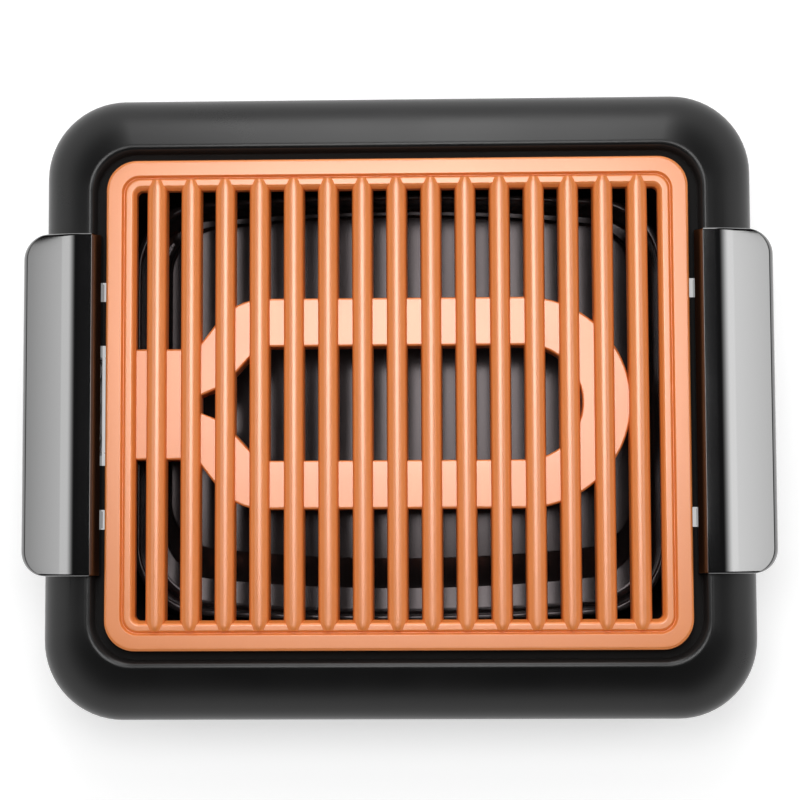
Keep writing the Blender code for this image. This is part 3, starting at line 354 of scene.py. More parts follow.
moulding = makeMoulding()
gloss = makeGloss()
copper = makeCopper("copperCoat", copperLook["skinDepth"])
castCopper = makeCopper("copperCoatOnCasting", copperLook["skinDepth"] * copperLook["castDepth"])
traySheet = makeTraySheet()
plainLooks = {                    # colour, stained, roughness, grain, its depth, stretch, metallic
    "elementSteel": ((0.30, 0.28, 0.26), (0.17, 0.14, 0.13), (0.38, 0.55), 0.0009, 2e-5),
    "nickelPlate": ((0.66, 0.63, 0.57), (0.55, 0.52, 0.47), (0.16, 0.30), 0.0006, 6e-6),
    "zincPlate": ((0.56, 0.57, 0.60), (0.46, 0.46, 0.47), (0.24, 0.38), 0.0007, 1e-5),
    "brushedGuardSheet": ((0.50, 0.50, 0.51), (0.40, 0.39, 0.39), (0.28, 0.42), 0.0006, 1e-5, (1, 0.06, 1)),
    "glazedCeramic": ((0.80, 0.77, 0.70), (0.70, 0.66, 0.58), (0.35, 0.55), 0.0012, 2e-5, None, 0.0),
    "footRubber": ((0.018, 0.018, 0.019), (0.028, 0.027, 0.026), (0.72, 0.90), 0.0009, 4e-5, None, 0.0),
}
plain = [makePlain(name, *look) for name, look in plainLooks.items()]
elementSteel, pinSteel, screwSteel, guardSteel, ceramic, rubber = plain
print("finishes made")


# Meshes

def outward(made):
    built = bmesh.new()
    built.from_mesh(made.data)
    bmesh.ops.remove_doubles(built, verts=built.verts[:], dist=mergeDistance)
    bmesh.ops.recalc_face_normals(built, faces=built.faces[:])
    built.to_mesh(made.data)
    built.free()
    return made


def shaded(made, finish):
    made.data.materials.clear()
    made.data.materials.append(finish)
    made.data.shade_smooth()
    made.data.set_sharp_from_angle(angle=smoothAngle)
    made.modifiers.new("flatsStayFlat", "WEIGHTED_NORMAL").keep_sharp = True
    return settle(made)


def linked(name, data):
    made = bpy.data.objects.new(name, data)
    bpy.context.scene.collection.objects.link(made)
    return made


def fromBuilt(name, built):
    mesh = bpy.data.meshes.new(name)
    built.to_mesh(mesh)
    built.free()
    return linked(name, mesh)


def loft(name, rings, capFirst=False, capLast=False, joined=False):
    built = bmesh.new()
    rows = [[built.verts.new(point) for point in ring] for ring in rings]
    pairs = list(zip(rows, rows[1:]))
    if joined:
        pairs.append((rows[-1], rows[0]))
    for lower, upper in pairs:
        for index in range(len(lower)):
            onward = (index + 1) % len(lower)
            built.faces.new((lower[index], lower[onward], upper[onward], upper[index]))
    if capFirst:
        built.faces.new(list(reversed(rows[0])))
    if capLast:
        built.faces.new(rows[-1])
    return fromBuilt(name, built)


def fillet(before, corner, after, radius, steps):
    corner = Vector(corner)
    back = (Vector(before) - corner).normalized()
    onward = (Vector(after) - corner).normalized()
    half = back.angle(onward) / 2
    middle = corner + (back + onward).normalized() * (radius / math.sin(half))
    first = corner + back * (radius / math.tan(half)) - middle
    towards = corner - middle
    swing = math.pi - 2 * half
    turn = 1 if first.x * towards.y - first.y * towards.x > 0 else -1
    points = []
    for step in range(steps + 1):
        angle = turn * swing * step / steps
        cosine, sine = math.cos(angle), math.sin(angle)
        swung = Vector((first.x * cosine - first.y * sine, first.x * sine + first.y * cosine))
        points.append(tuple(middle + swung))
    return points


def rounded(corners, closed, steps):
    points = []
    for index, (x, y, radius) in enumerate(corners):
        if radius == 0 or (not closed and index in (0, len(corners) - 1)):
            points.append((x, y))
            continue
        before = corners[index - 1][:2]
        after = corners[(index + 1) % len(corners)][:2]
        points.extend(fillet(before, (x, y), after, radius, steps))
    return points


def outline(halfX, halfY, radius, cornerSteps=16, sideSteps=4, height=None):
    points = []
    for quarter in range(4):
        signX = 1 if quarter in (0, 3) else -1
        signY = 1 if quarter in (0, 1) else -1
        arc = []
        for step in range(cornerSteps + 1):
            angle = math.pi / 2 * (quarter + step / cornerSteps)
            x = signX * (halfX - radius) + radius * math.cos(angle)
            y = signY * (halfY - radius) + radius * math.sin(angle)
            arc.append((x, y, height(angle)) if height else (x, y))
        if points:
            points.extend(between(points[-1], arc[0], sideSteps))
        points.extend(arc)
    points.extend(between(points[-1], points[0], sideSteps))
    return points


def between(first, last, steps):
    return [tuple(a + (b - a) * step / steps for a, b in zip(first, last)) for step in range(1, steps)]


def turned(name, profile, steps=48, along=(0, 0, 1), centre=(0, 0, 0)):
    rings = []
    for step in range(steps):
        angle = math.tau * step / steps
        rings.append([(radius * math.cos(angle), radius * math.sin(angle), z) for radius, z in profile])
    made = loft(name, rings, joined=True)
    built = bmesh.new()
    built.from_mesh(made.data)
    loose = [edge for edge in built.edges if edge.calc_length() < mergeDistance]
    bmesh.ops.collapse(built, edges=loose)
    strays = [face for face in built.faces if face.calc_area() < 1e-14]
    bmesh.ops.delete(built, geom=strays, context="FACES_ONLY")
    turn = Vector((0, 0, 1)).rotation_difference(Vector(along)).to_matrix().to_4x4()
    bmesh.ops.transform(built, matrix=Matrix.Translation(centre) @ turn, verts=built.verts[:])
    built.to_mesh(made.data)
    built.free()
    return outward(made)


def boxes(name, corners):
    built = bmesh.new()
    for low, high in corners:
        size = [b - a for a, b in zip(low, high)]
        middle = [(a + b) / 2 for a, b in zip(low, high)]
        bmesh.ops.create_cube(built, size=1, matrix=Matrix.Translation(middle) @ Matrix.Diagonal((*size, 1)))
    return outward(fromBuilt(name, built))


def rods(name, places, steps=40):
    built = bmesh.new()
    for start, end, radius in places:
        along = Vector(end) - Vector(start)
        turn = Vector((0, 0, 1)).rotation_difference(along).to_matrix().to_4x4()
        where = Matrix.Translation(Vector(start) + along / 2) @ turn
        sizes = {"radius1": radius, "radius2": radius, "depth": along.length}
        bmesh.ops.create_cone(built, cap_ends=True, segments=steps, matrix=where, **sizes)
    return outward(fromBuilt(name, built))


def solved(made):
    bpy.context.view_layer.update()
    return bpy.data.meshes.new_from_object(made.evaluated_get(bpy.context.evaluated_depsgraph_get()))


def settle(made):
    mesh = solved(made)
    made.modifiers.clear()
    made.data = mesh
    return made


def carve(target, operation, tools):
    for tool in tools:
        cut = target.modifiers.new("carve", "BOOLEAN")
        cut.operation = operation
        cut.solver = "EXACT"
        cut.object = tool
    settle(target)
    for tool in tools:
        bpy.data.objects.remove(tool, do_unlink=True)


def thicken(target, wall):
    skin = target.modifiers.new("wall", "SOLIDIFY")
    skin.thickness = wall
    skin.offset = -1
    skin.use_even_offset = True
    settle(target)


# Geometry Nodes: sizes come in through named inputs

socketKinds = {int: "Int", float: "Float", tuple: "Vector"}


def startTree(name, sizes):
    tree = bpy.data.node_groups.new(name, "GeometryNodeTree")

    def addSocket(label, kind, way="INPUT"):
        return tree.interface.new_socket(name=label, in_out=way, socket_type="NodeSocket" + kind)

    addSocket("Geometry", "Geometry")
    for label, value in sizes.items():
        addSocket(label, socketKinds[type(value)]).default_value = value
    addSocket("Finish", "Material")
    addSocket("Geometry", "Geometry", "OUTPUT")
    graph = Graph(tree)
    entry = tree.nodes.new("NodeGroupInput")
    return graph, {socket.name: Wire(graph, socket) for socket in entry.outputs if socket.name}


def endTree(graph, geometry, finish):
    geometry = graph.node("GeometryNodeRealizeInstances", {"Geometry": geometry})
    geometry = graph.node("GeometryNodeSetMaterial", {"Geometry": geometry, "Material": finish})
    last = graph.tree.nodes.new("NodeGroupOutput")
    graph.feed(last.inputs["Geometry"], geometry)
    return graph.tree


def grow(made, tree, finish, sizes):
    modifier = made.modifiers.new(tree.name, "NODES")
    modifier.node_group = tree
    given = {**sizes, "Finish": finish}
    for item in tree.interface.items_tree:
        if item.in_out == "INPUT" and item.name in given:
            modifier[item.identifier] = given[item.name]
    return outward(settle(made))


def makeRowTree():
    sizes = {"Columns": 2, "Rows": 1, "Across": 0.019, "Along": 0.1, "Middle": (0.0, 0.0, 0.0)}
    graph, wires = startTree("setInRows", sizes)

    def line(count, offset):
        return graph.node("GeometryNodeMeshLine", {"Count": count, "Offset": offset}, mode="OFFSET")

    def vector(x, y):
        return graph.node("ShaderNodeCombineXYZ", {"X": x, "Y": y, "Z": 0.0})

    columns = line(wires["Columns"], vector(wires["Across"], 0.0))
    rows = line(wires["Rows"], vector(0.0, wires["Along"]))
    places = graph.node("GeometryNodeInstanceOnPoints", {"Points": columns, "Instance": rows})
    places = graph.node("GeometryNodeRealizeInstances", {"Geometry": places})
    startX = (wires["Columns"] - 1) * wires["Across"] * -0.5
    startY = (wires["Rows"] - 1) * wires["Along"] * -0.5
    start = vector(startX, startY)
    start = graph.node("ShaderNodeVectorMath", {0: start, 1: wires["Middle"]}, operation="ADD")
    places = graph.node("GeometryNodeTransform", {"Geometry": places, "Translation": start})
    copies = graph.node("GeometryNodeInstanceOnPoints", {"Points": places, "Instance": wires["Geometry"]})
    return endTree(graph, copies, wires["Finish"])


def makeBarTree(sizes):
    graph, wires = startTree("ribbedBar", sizes)
    section = graph.node("GeometryNodeMeshToCurve", {"Mesh": wires["Geometry"]})
    line = graph.node("GeometryNodeCurvePrimitiveLine", {"Start": (0, -1, 0), "End": (0, 1, 0)})
    line = graph.node("GeometryNodeResampleCurve", {"Curve": line, "Count": wires["Stations"]})
    bar = graph.node("GeometryNodeCurveToMesh", {"Curve": line, "Profile Curve": section, "Fill Caps": True})
    x, y, z = graph.axes(graph.node("GeometryNodeInputPosition")).values()
    side = graph.node("ShaderNodeMath", {0: y}, operation="SIGN")
    fromEnd = (1 - abs(y)) ** 2.0 * wires["Half Length"]         # stations crowd towards both noses
    width = graph.rise(fromEnd, wires["Nose"], wires["Nose Width"])
    height = graph.rise(fromEnd, wires["Tip Run"], wires["Tip Height"])
    foot = wires["Foot Z"]
    values = {"X": x * width, "Y": side * (wires["Half Length"] - fromEnd), "Z": foot + (z - foot) * height}
    place = graph.node("ShaderNodeCombineXYZ", values)
    bar = graph.node("GeometryNodeSetPosition", {"Geometry": bar, "Position": place})
    return endTree(graph, bar, wires["Finish"])


def makeTubeTree(sizes):
    graph, wires = startTree("tubeOnPath", sizes)
    path = graph.node("GeometryNodeMeshToCurve", {"Mesh": wires["Geometry"]})
    values = {"Resolution": wires["Facets"], "Radius": wires["Radius"]}
    ring = graph.node("GeometryNodeCurvePrimitiveCircle", values)
    tube = graph.node("GeometryNodeCurveToMesh", {"Curve": path, "Profile Curve": ring, "Fill Caps": True})
    return endTree(graph, tube, wires["Finish"])


rowTree = makeRowTree()


def wireMesh(name, points, closed=False):
    mesh = bpy.data.meshes.new(name)
    edges = [(index, index + 1) for index in range(len(points) - 1)]
    if closed:
        edges.append((len(points) - 1, 0))
    mesh.from_pydata(points, edges, [])
    return linked(name, mesh)


def hand(made, body, slot, *nodes):
    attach(made, body)
    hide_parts(*nodes)


def inRows(one, finish, columns, rows, across, along, middleX=0.0):
    sizes = {"Columns": columns, "Rows": rows, "Across": across, "Along": along}
    sizes["Middle"] = (middleX, 0.0, 0.0)
    return shaded(grow(one, rowTree, finish, sizes), finish)


halfLength = recessX + base["rimX"]
halfWidth = recessY + base["rimY"]
rimReach = (base["rimX"] - base["lipRun"]) / (1 - math.cos(base["rimArc"]))
rimEndZ = base["widestZ"] + base["rimRise"] * math.sin(base["rimArc"])
lipZ = rimEndZ + base["lipRun"] * base["rimRise"] / rimReach / math.tan(base["rimArc"])
ledgeZ = lipZ - base["recessDepth"]
ledgeInner = base["rimX"] + base["recessDraft"] + base["ledge"]
tubX = halfLength - ledgeInner
tubY = halfWidth - base["rimY"] - base["recessDraft"] - base["ledge"]
plateLowZ = ledgeZ + gap
plateTopZ = plateLowZ + plate["thickness"]


def baseSection():
    corners = [(base["skirtTaper"], base["skirtZ"], 0)]
    for step in range(base["rimSteps"] + 1):
        angle = base["rimArc"] * step / base["rimSteps"]
        z = base["widestZ"] + base["rimRise"] * math.sin(angle)
        corners.append((rimReach * (1 - math.cos(angle)), z, 0))
    foot = ledgeInner + base["tubDraft"]
    corners += [
        (base["rimX"], lipZ, base["lip"]),
        (base["rimX"] + base["recessDraft"], ledgeZ, base["ledgeRound"]),
        (ledgeInner, ledgeZ, base["ledgeLip"]),
        (foot, base["floorZ"], base["floorRound"]),
        (foot + 2 * base["floorRound"], base["floorZ"], 0),
    ]
    return rounded(corners, False, 8)


def baseRing(inset, z):
    corner, skirtCorner = base["corner"], base["skirtCorner"]
    recessCorner, tubCorner = base["recessCorner"], base["tubCorner"]
    insetY = inset * base["rimY"] / base["rimX"]
    if inset < base["rimX"] and z < base["widestZ"]:
        radius = corner + (skirtCorner - corner) * (base["widestZ"] - z) / (base["widestZ"] - base["skirtZ"])
    elif inset < base["rimX"]:
        radius = corner + (recessCorner - corner) * inset / base["rimX"]
    else:
        insetY = inset + base["rimY"] - base["rimX"]
        share = min(1, (inset - base["rimX"]) / (ledgeInner - base["rimX"]))
        radius = recessCorner + (tubCorner - recessCorner) * share
        if inset > ledgeInner:
            share = min(1, (inset - ledgeInner) / (base["tubDraft"] + base["floorRound"]))
            radius = tubCorner + (base["floorCorner"] - tubCorner) * share
    return [(x, y, z) for x, y in outline(halfLength - inset, halfWidth - insetY, radius)]


# Handles

grip = {
    "half": 0.09555,
    "innerX": recessX - 0.0043,
    "overhang": 0.0095,
    "crestRise": 0.0067,
    "crest": 0.0002,
    "faceRun": 0.0042,
    "faceDrop": 0.0073,
    "bend": 0.0161,
    "bendRound": 0.042,
    "tipDrop": 0.0072,
    "tip": 0.0036,
    "lip": 0.0072,
    "corner": 0.014,
    "wall": 0.0027,
    "beam": 0.0246,
    "edge": 0.0009,
    "tabY": 0.064,
    "tab": (0.0023, 0.0048, 0.0065),
    "screwX": 0.0141,
    "screwY": 0.0158,
    "boss": 0.0039,
    "bossDrop": 0.0107,
    "pilot": (0.0018, 0.0108),    # radius and depth
    "faceRound": 0.0006,
    "lipRound": 0.0009,
    "mouthRound": 0.0006,
    "roofRound": 0.0023,
    "beamRound": (0.0013, 0.0005),
    "tabTop": 0.0012,
    "skin": 0.0012,               # least wall beside the pocket
    "noPocket": 0.001,            # share of the pocket's depth past its ends
    "sideSteps": 4,
    "cornerSteps": 15,
}
gripOuterX = halfLength + grip["overhang"]
crestZ = lipZ + grip["crestRise"]
tipZ = crestZ - grip["tipDrop"]
lowZ = tipZ - grip["lip"]
bendX = grip["innerX"] + grip["bend"]
beamX = grip["innerX"] + grip["beam"]
wingSlope = grip["tipDrop"] / (gripOuterX - bendX)
screwX = grip["innerX"] + grip["screwX"]
screwY = grip["half"] - grip["screwY"]
bossLowZ = lipZ - grip["bossDrop"]


def withNormals(line):
    for index, here in enumerate(line):
        along = (line[min(index + 1, len(line) - 1)] - line[max(index - 1, 0)]).normalized()
        yield here, Vector((along.y, -along.x))


def seatLine():
    shell = [Vector((halfLength - inset, z)) for inset, z in baseSection()]
    shell = [point for point in shell if point.x > grip["innerX"] and point.y > ledgeZ - slip]
    seat = [here + across * (gap + slip) for here, across in withNormals(shell)]
    footZ = ledgeZ + gap
    points = []
    for before, here in zip(seat, seat[1:]):
        if before.y < lowZ < here.y and not points:
            points.append(before.lerp(here, (lowZ - before.y) / (here.y - before.y)))
        if here.y < footZ < before.y:
            points.append(before.lerp(here, (footZ - before.y) / (here.y - before.y)))
            break
        if points:
            points.append(here)
    return [(point.x, point.y, 0) for point in points]


seat = seatLine()


def gripSection(outerX, pocketX, shrink, pocket):
    topZ = crestZ - wingSlope * (outerX - bendX)
    inner = grip["innerX"] + shrink
    outer = outerX - shrink
    low = lowZ + shrink
    drop = grip["wall"] / math.cos(math.atan(wingSlope))

    def roof(x):
        return low + (crestZ - wingSlope * (x - bendX) - drop - low) * pocket

    corners = [
        (inner, ledgeZ + gap, 0),
        (inner, crestZ - grip["faceDrop"] - shrink, grip["faceRound"]),
        (inner + grip["faceRun"], crestZ - shrink, grip["crest"]),
        (bendX, crestZ - shrink, grip["bendRound"]),
        (outer, topZ - shrink, grip["tip"]),
        (outer, low, grip["lipRound"]),
        (pocketX, low, grip["mouthRound"]),
        (pocketX, roof(pocketX), grip["roofRound"] * pocket),
        (beamX, roof(beamX), grip["beamRound"][0] * pocket),
        (beamX, low, grip["beamRound"][1]),
    ]
    return rounded(corners + seat, True, 7)


def makeGrips():
    half, corner, wall = grip["half"], grip["corner"], grip["wall"]
    stations = []                                     # distance from the middle, pocket share
    for step in range(grip["sideSteps"] + 1):
        stations.append(((half - corner) * step / grip["sideSteps"], 1))
    for step in range(1, grip["cornerSteps"] + 1):
        angle = math.pi / 2 * step / grip["cornerSteps"]
        y = half - corner + corner * math.sin(angle)
        if y < half - wall:
            stations.append((y, 1))
        elif stations[-1][1] == 1:
            stations += [(half - wall, 1), (half - wall + 0.00005, grip["noPocket"])]
        if y > half - wall:
            stations.append((y, grip["noPocket"]))
    rings = []
    for y, pocket in [(-y, pocket) for y, pocket in reversed(stations)] + stations[1:]:
        past = max(0, abs(y) - (half - corner))
        outerX = gripOuterX - corner + math.sqrt(max(0, corner**2 - past**2))
        inner = corner - wall
        pocketX = gripOuterX - corner + math.sqrt(max(0, inner**2 - min(past, inner) ** 2))
        near = max(0, grip["edge"] - (half - abs(y)))
        shrink = grip["edge"] - math.sqrt(max(0, grip["edge"] ** 2 - near**2))
        pocketX = min(pocketX, outerX - shrink - grip["skin"])
        rings.append([(x, y, z) for x, z in gripSection(outerX, pocketX, shrink, pocket)])
    right = outward(loft("gripRight", rings, capFirst=True, capLast=True))
    tabs, bosses, holes = [], [], []
    wide, long, deep = grip["tab"]
    inner = grip["innerX"]
    pilot, pilotDepth = grip["pilot"]
    for end in (-1, 1):
        low = (inner + slip, end * grip["tabY"] - long, ledgeZ + gap - deep)
        tabs.append((low, (inner + wide, end * grip["tabY"] + long, ledgeZ + grip["tabTop"])))
        y = end * screwY
        bosses.append(((screwX, y, bossLowZ + gap), (screwX, y, crestZ - grip["boss"]), grip["boss"]))
        holes.append(((screwX, y, bossLowZ - overrun), (screwX, y, bossLowZ + pilotDepth), pilot))
    carve(right, "UNION", [boxes("tabs", tabs), rods("bosses", bosses)])
    carve(right, "DIFFERENCE", [rods("pilotHoles", holes)])
    left = linked("gripLeft", right.data.copy())
    left.data.transform(Matrix.Diagonal((-1, 1, 1, 1)))
    left.data.flip_normals()
    for made, node in ((right, "handle_right"), (left, "handle_left")):
        hand(shaded(made, gloss), "base", "handle_moulding", node)


makeGrips()
print("handles made")


def makeBase():
    rings = [baseRing(inset, z) for inset, z in baseSection()]
    shell = loft("baseHousing", rings, capLast=True)
    thicken(shell, base["wall"])
    bosses, holes, slots = [], [], []
    footIn, (outerSlot, innerSlot), (lowSlot, highSlot) = base["footIn"], base["slotX"], base["slotZ"]
    for side in (-1, 1):
        for end in (-1, 1):
            x, y = side * screwX, end * screwY
            share = 1 - (halfLength - screwX) / rimReach
            top = base["widestZ"] + base["rimRise"] * math.sqrt(1 - share**2)
            bosses.append(((x, y, bossLowZ), (x, y, top - base["wall"] / 2), grip["boss"] + slip + 0.002))
            holes.append(((x, y, bossLowZ - overrun), (x, y, crestZ), grip["boss"] + slip))
            footX = side * (tubX - base["tubDraft"] - footIn[0])
            footY = end * (tubY - base["tubDraft"] - footIn[1])
            holes.append(((footX, footY, 0), (footX, footY, base["floorZ"] + overrun), base["footHole"]))
            near, far = sorted((side * (grip["innerX"] + outerSlot), side * (grip["innerX"] + innerSlot)))
            middle, half = end * grip["tabY"], base["slotY"]
            slots.append(((near, middle - half, ledgeZ + lowSlot), (far, middle + half, ledgeZ + highSlot)))
    guardLow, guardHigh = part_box("terminal_guard")
    beside, below = base["opening"]
    opening = [(
        (-halfLength - overrun, guardLow.y - beside, guardLow.z - below),
        (-tubX + overrun, guardHigh.y + beside, plateLowZ),
    )]
    carve(shell, "UNION", [rods("bosses", bosses)])
    carve(shell, "DIFFERENCE", [rods("holes", holes), boxes("slots", slots), boxes("opening", opening)])
    hand(shaded(outward(shell), moulding), "base", "base_moulding", "base_housing")


makeBase()
print("base housing made")


# Drip tray: rings drawn from three sections. Values in threes are for the side, the front and the back

tray = {
    "sheet": 0.001,
    "depth": 0.0333,
    "space": (0.0029, 0.0065, 0.0040),
    "rimDrop": 0.0016,
    "rimWidth": 0.0032,
    "rimCorner": 0.036,
    "rimBow": 0.006,
    "wall": (0.0059, 0.0040, 0.0042),
    "footRise": 0.0046,
    "footCorner": 0.032,
    "channel": (0.0107, 0.0319, 0.0040),
    "padRise": 0.0042,
    "padSlope": (0.002, 0.0172, 0.0016),
    "channelRise": (0, 0.001, 0),
    "padCorner": 0.026,
    "padBow": 0.009,
    "padRun": 0.004,
    "rimRound": 0.0011,
    "footRound": 0.0034,
    "padRound": 0.0020,
    "steps": 6,
    "cornerSteps": 18,
    "sideSteps": 18,
}


def traySection(index):
    floorZ = base["floorZ"] + gap + tray["sheet"]
    rimZ = floorZ + tray["depth"]
    rim = (tubX if index == 0 else tubY) - tray["space"][index]
    wall = rim - tray["wall"][index]
    pad = wall - tray["channel"][index]
    lean = (rim - tray["rimWidth"] - wall) / (tray["depth"] - tray["footRise"])
    corners = [
        (rim, rimZ - tray["rimDrop"], 0),
        (rim, rimZ, tray["rimRound"]),
        (rim - tray["rimWidth"], rimZ, tray["rimRound"]),
        (wall - lean * tray["footRise"], floorZ + tray["channelRise"][index], tray["footRound"]),
        (pad + tray["padSlope"][index], floorZ, tray["padRound"]),
        (pad, floorZ + tray["padRise"], tray["padRound"]),
        (pad - tray["padRun"], floorZ + tray["padRise"], 0),
    ]
    return rounded(corners, False, tray["steps"])


def trayRing(side, front, back, corner, bow):
    halfX, halfY = side[0], (front[0] + back[0]) / 2
    middleY = (back[0] - front[0]) / 2

    def height(angle):
        endZ = back[1] if angle <= math.pi else front[1]
        return side[1] + (endZ - side[1]) * math.sin(angle) ** 2

    points = outline(halfX, halfY, corner, tray["cornerSteps"], tray["sideSteps"], height)
    return [(x, middleY + y * (1 - bow / halfY * (x / halfX) ** 2), z) for x, y, z in points]


def makeTray():
    side, front, back = (traySection(index) for index in range(3))
    steps = tray["steps"] + 1
    wallBow = (tray["rimBow"] + tray["padBow"]) / 2
    shapes = [(tray["rimCorner"], tray["rimBow"])] * (1 + 2 * steps)
    shapes += [(tray["footCorner"], wallBow)] * steps
    shapes += [(tray["padCorner"], tray["padBow"])] * (1 + 2 * steps)
    rings = [trayRing(*row, *shape) for *row, shape in zip(side, front, back, shapes)]
    made = loft("dripTray", rings, capLast=True)
    thicken(made, tray["sheet"])
    hand(shaded(outward(made), traySheet), "tray", "tray_sheet", "drip_tray")


makeTray()
print("drip tray made")


# Grill plate: frame

def makeFrame():
    top, low = plateTopZ, plateLowZ
    inner, flat, groove, soft = plate["width"], plate["flat"], plate["groove"], plate["soft"]
    corners = [
        (plate["draft"], low, plate["low"]),
        (0, top, plate["edge"]),
        (flat, top, soft),
        (flat + groove / 2, top - plate["grooveDepth"], soft),
        (flat + groove, top - plate["beadDrop"], plate["beadSoft"]),
        (flat + groove + plate["bead"], top - plate["beadDrop"], plate["innerSoft"]),
        (inner, top - plate["slotDrop"], plate["beadSoft"]),
        (inner, low, plate["low"]),
    ]
    rings = []
    for inset, z in rounded(corners, True, 6):
        corner = plate["corner"] + (plate["slotCorner"] - plate["corner"]) * inset / inner
        ring = outline(plate["halfX"] - inset, plate["halfY"] - inset, corner, 12)
        rings.append([(x, y, z) for x, y in ring])
    made = outward(loft("plateFrame", rings, joined=True))
    hand(shaded(made, copper), "plate", "plate_coat", "grill_plate")


# Bars: one section, drawn out and set in a row

bar = {
    "count": 15,
    "pitch": 0.01917,
    "radius": 0.0055,
    "rise": 0.0006,
    "spread": 0.0005,
    "footRise": 0.0004,
    "footEdge": 0.0006,
    "arch": 0.0040,
    "nose": 0.0060,
    "noseWidth": 0.58,
    "tipRun": 0.0015,
    "tipHeight": 0.71,
    "stations": 44,
    "arcSteps": 24,
}


def makeBars():
    crest = plateTopZ + bar["rise"]
    low = plateLowZ + bar["footRise"]
    foot = bar["radius"] + bar["spread"]
    edge = bar["footEdge"]
    section = [(-foot, low + edge), (-foot + edge, low), (foot - edge, low), (foot, low + edge)]
    for step in range(bar["arcSteps"] + 1):
        angle = math.pi * step / bar["arcSteps"]
        section.append((bar["radius"] * math.cos(angle), crest - bar["arch"] * (1 - math.sin(angle))))
    profile = wireMesh("grillBars", [(x, -z, 0) for x, z in section], closed=True)
    sizes = {
        "Half Length": plate["halfY"] - plate["flat"] - plate["groove"] / 2,
        "Stations": bar["stations"],
        "Nose": bar["nose"],
        "Nose Width": bar["noseWidth"],
        "Tip Run": bar["tipRun"],
        "Tip Height": bar["tipHeight"],
        "Foot Z": low,
    }
    one = grow(profile, makeBarTree(sizes), copper, sizes)
    made = inRows(one, copper, bar["count"], 1, bar["pitch"], 0.0)
    hand(made, "plate", "plate_coat", "grill_plate")


# Heater loop with the element's groove

loop = {
    "topDrop": 0.005,
    "thickness": 0.017,
    "soft": 0.0012,
    "limb": 0.0136,
    "lineY": 0.0454,
    "endSpace": 0.0156,
    "padHalf": 0.031,
    "padLength": 0.0336,
    "padRoot": 0.0054,
    "kneeAngle": math.radians(52.6),
    "kneeRound": 0.033,
    "innerAngle": math.radians(48),
    "tipOffset": 0.002,
    "neckOffset": 0.0155,
    "kneeOffset": 0.035,
    "tipHalf": 0.0046,
    "innerRound": 0.008,
    "arcSteps": 24,
    "axisRise": 0.0065,
    "pilot": (0.0016, 0.006),     # radius and depth
}
slotX = plate["halfX"] - plate["width"]
loopArcX = slotX - loop["endSpace"] - loop["lineY"] - loop["limb"]
loopPadX = -slotX + loop["padLength"]
loopEndX = -slotX - loop["padRoot"]
loopTopZ = plateTopZ - loop["topDrop"]
loopLowZ = loopTopZ - loop["thickness"]
axisZ = loopLowZ + loop["axisRise"]

element = {
    "radius": 0.004,
    "spacing": 0.0348,
    "bend": 0.016,
    "bendX": loopPadX - 0.001,
    "diagonal": 0.038,
}
sleeve = {"radius": 0.0044, "bore": 0.0032, "outside": 0.012, "inside": 0.021}


def roundEnd(radius):
    points = []
    for step in range(1, loop["arcSteps"] + 1):
        angle = math.pi / 2 * (1 - step / loop["arcSteps"])
        points.append((loopArcX + radius * math.cos(angle), radius * math.sin(angle)))
    return points


def bothHalves(half):
    return half + [(x, -y) for x, y in reversed(half) if abs(y) > mergeDistance]


def elementLine(startX):
    pinY = element["spacing"] / 2
    corners = [
        (startX, pinY, 0),
        (element["bendX"], pinY, element["bend"]),
        (element["bendX"] + element["diagonal"], loop["lineY"], element["bend"]),
        (loopArcX, loop["lineY"], 0),
    ]
    return bothHalves(rounded(corners, False, 8) + roundEnd(loop["lineY"]))


def loopOutlines():
    outerY = loop["lineY"] + loop["limb"]
    innerY = loop["lineY"] - loop["limb"]
    padY = loop["padHalf"]
    kneeX = loopPadX + (outerY - padY) / math.tan(loop["kneeAngle"])
    outer = [(loopEndX, padY, 0), (loopPadX, padY, 0), (kneeX, outerY, loop["kneeRound"])]
    outer = rounded(outer + [(loopArcX, outerY, 0)], False, 10) + roundEnd(outerY)
    neckY = innerY - (loop["kneeOffset"] - loop["neckOffset"]) * math.tan(loop["innerAngle"])
    inner = [
        (loopPadX + loop["tipOffset"], loop["tipHalf"], 0),
        (loopPadX + loop["neckOffset"], neckY, loop["innerRound"]),
        (loopPadX + loop["kneeOffset"], innerY, loop["innerRound"]),
        (loopArcX, innerY, 0),
    ]
    return bothHalves(outer), bothHalves(rounded(inner, False, 8) + roundEnd(innerY))


def makeGroove():
    width = element["radius"] + slip
    section = [(-width, loopLowZ - overrun), (width, loopLowZ - overrun)]
    for step in range(13):
        angle = math.pi * step / 12
        section.append((width * math.cos(angle), axisZ + width * math.sin(angle)))
    line = [Vector(point) for point in elementLine(loopEndX - overrun)]
    rings = []
    for here, across in withNormals(line):
        rings.append([(here.x + across.x * s, here.y + across.y * s, z) for s, z in section])
    return outward(loft("groove", rings, capFirst=True, capLast=True))


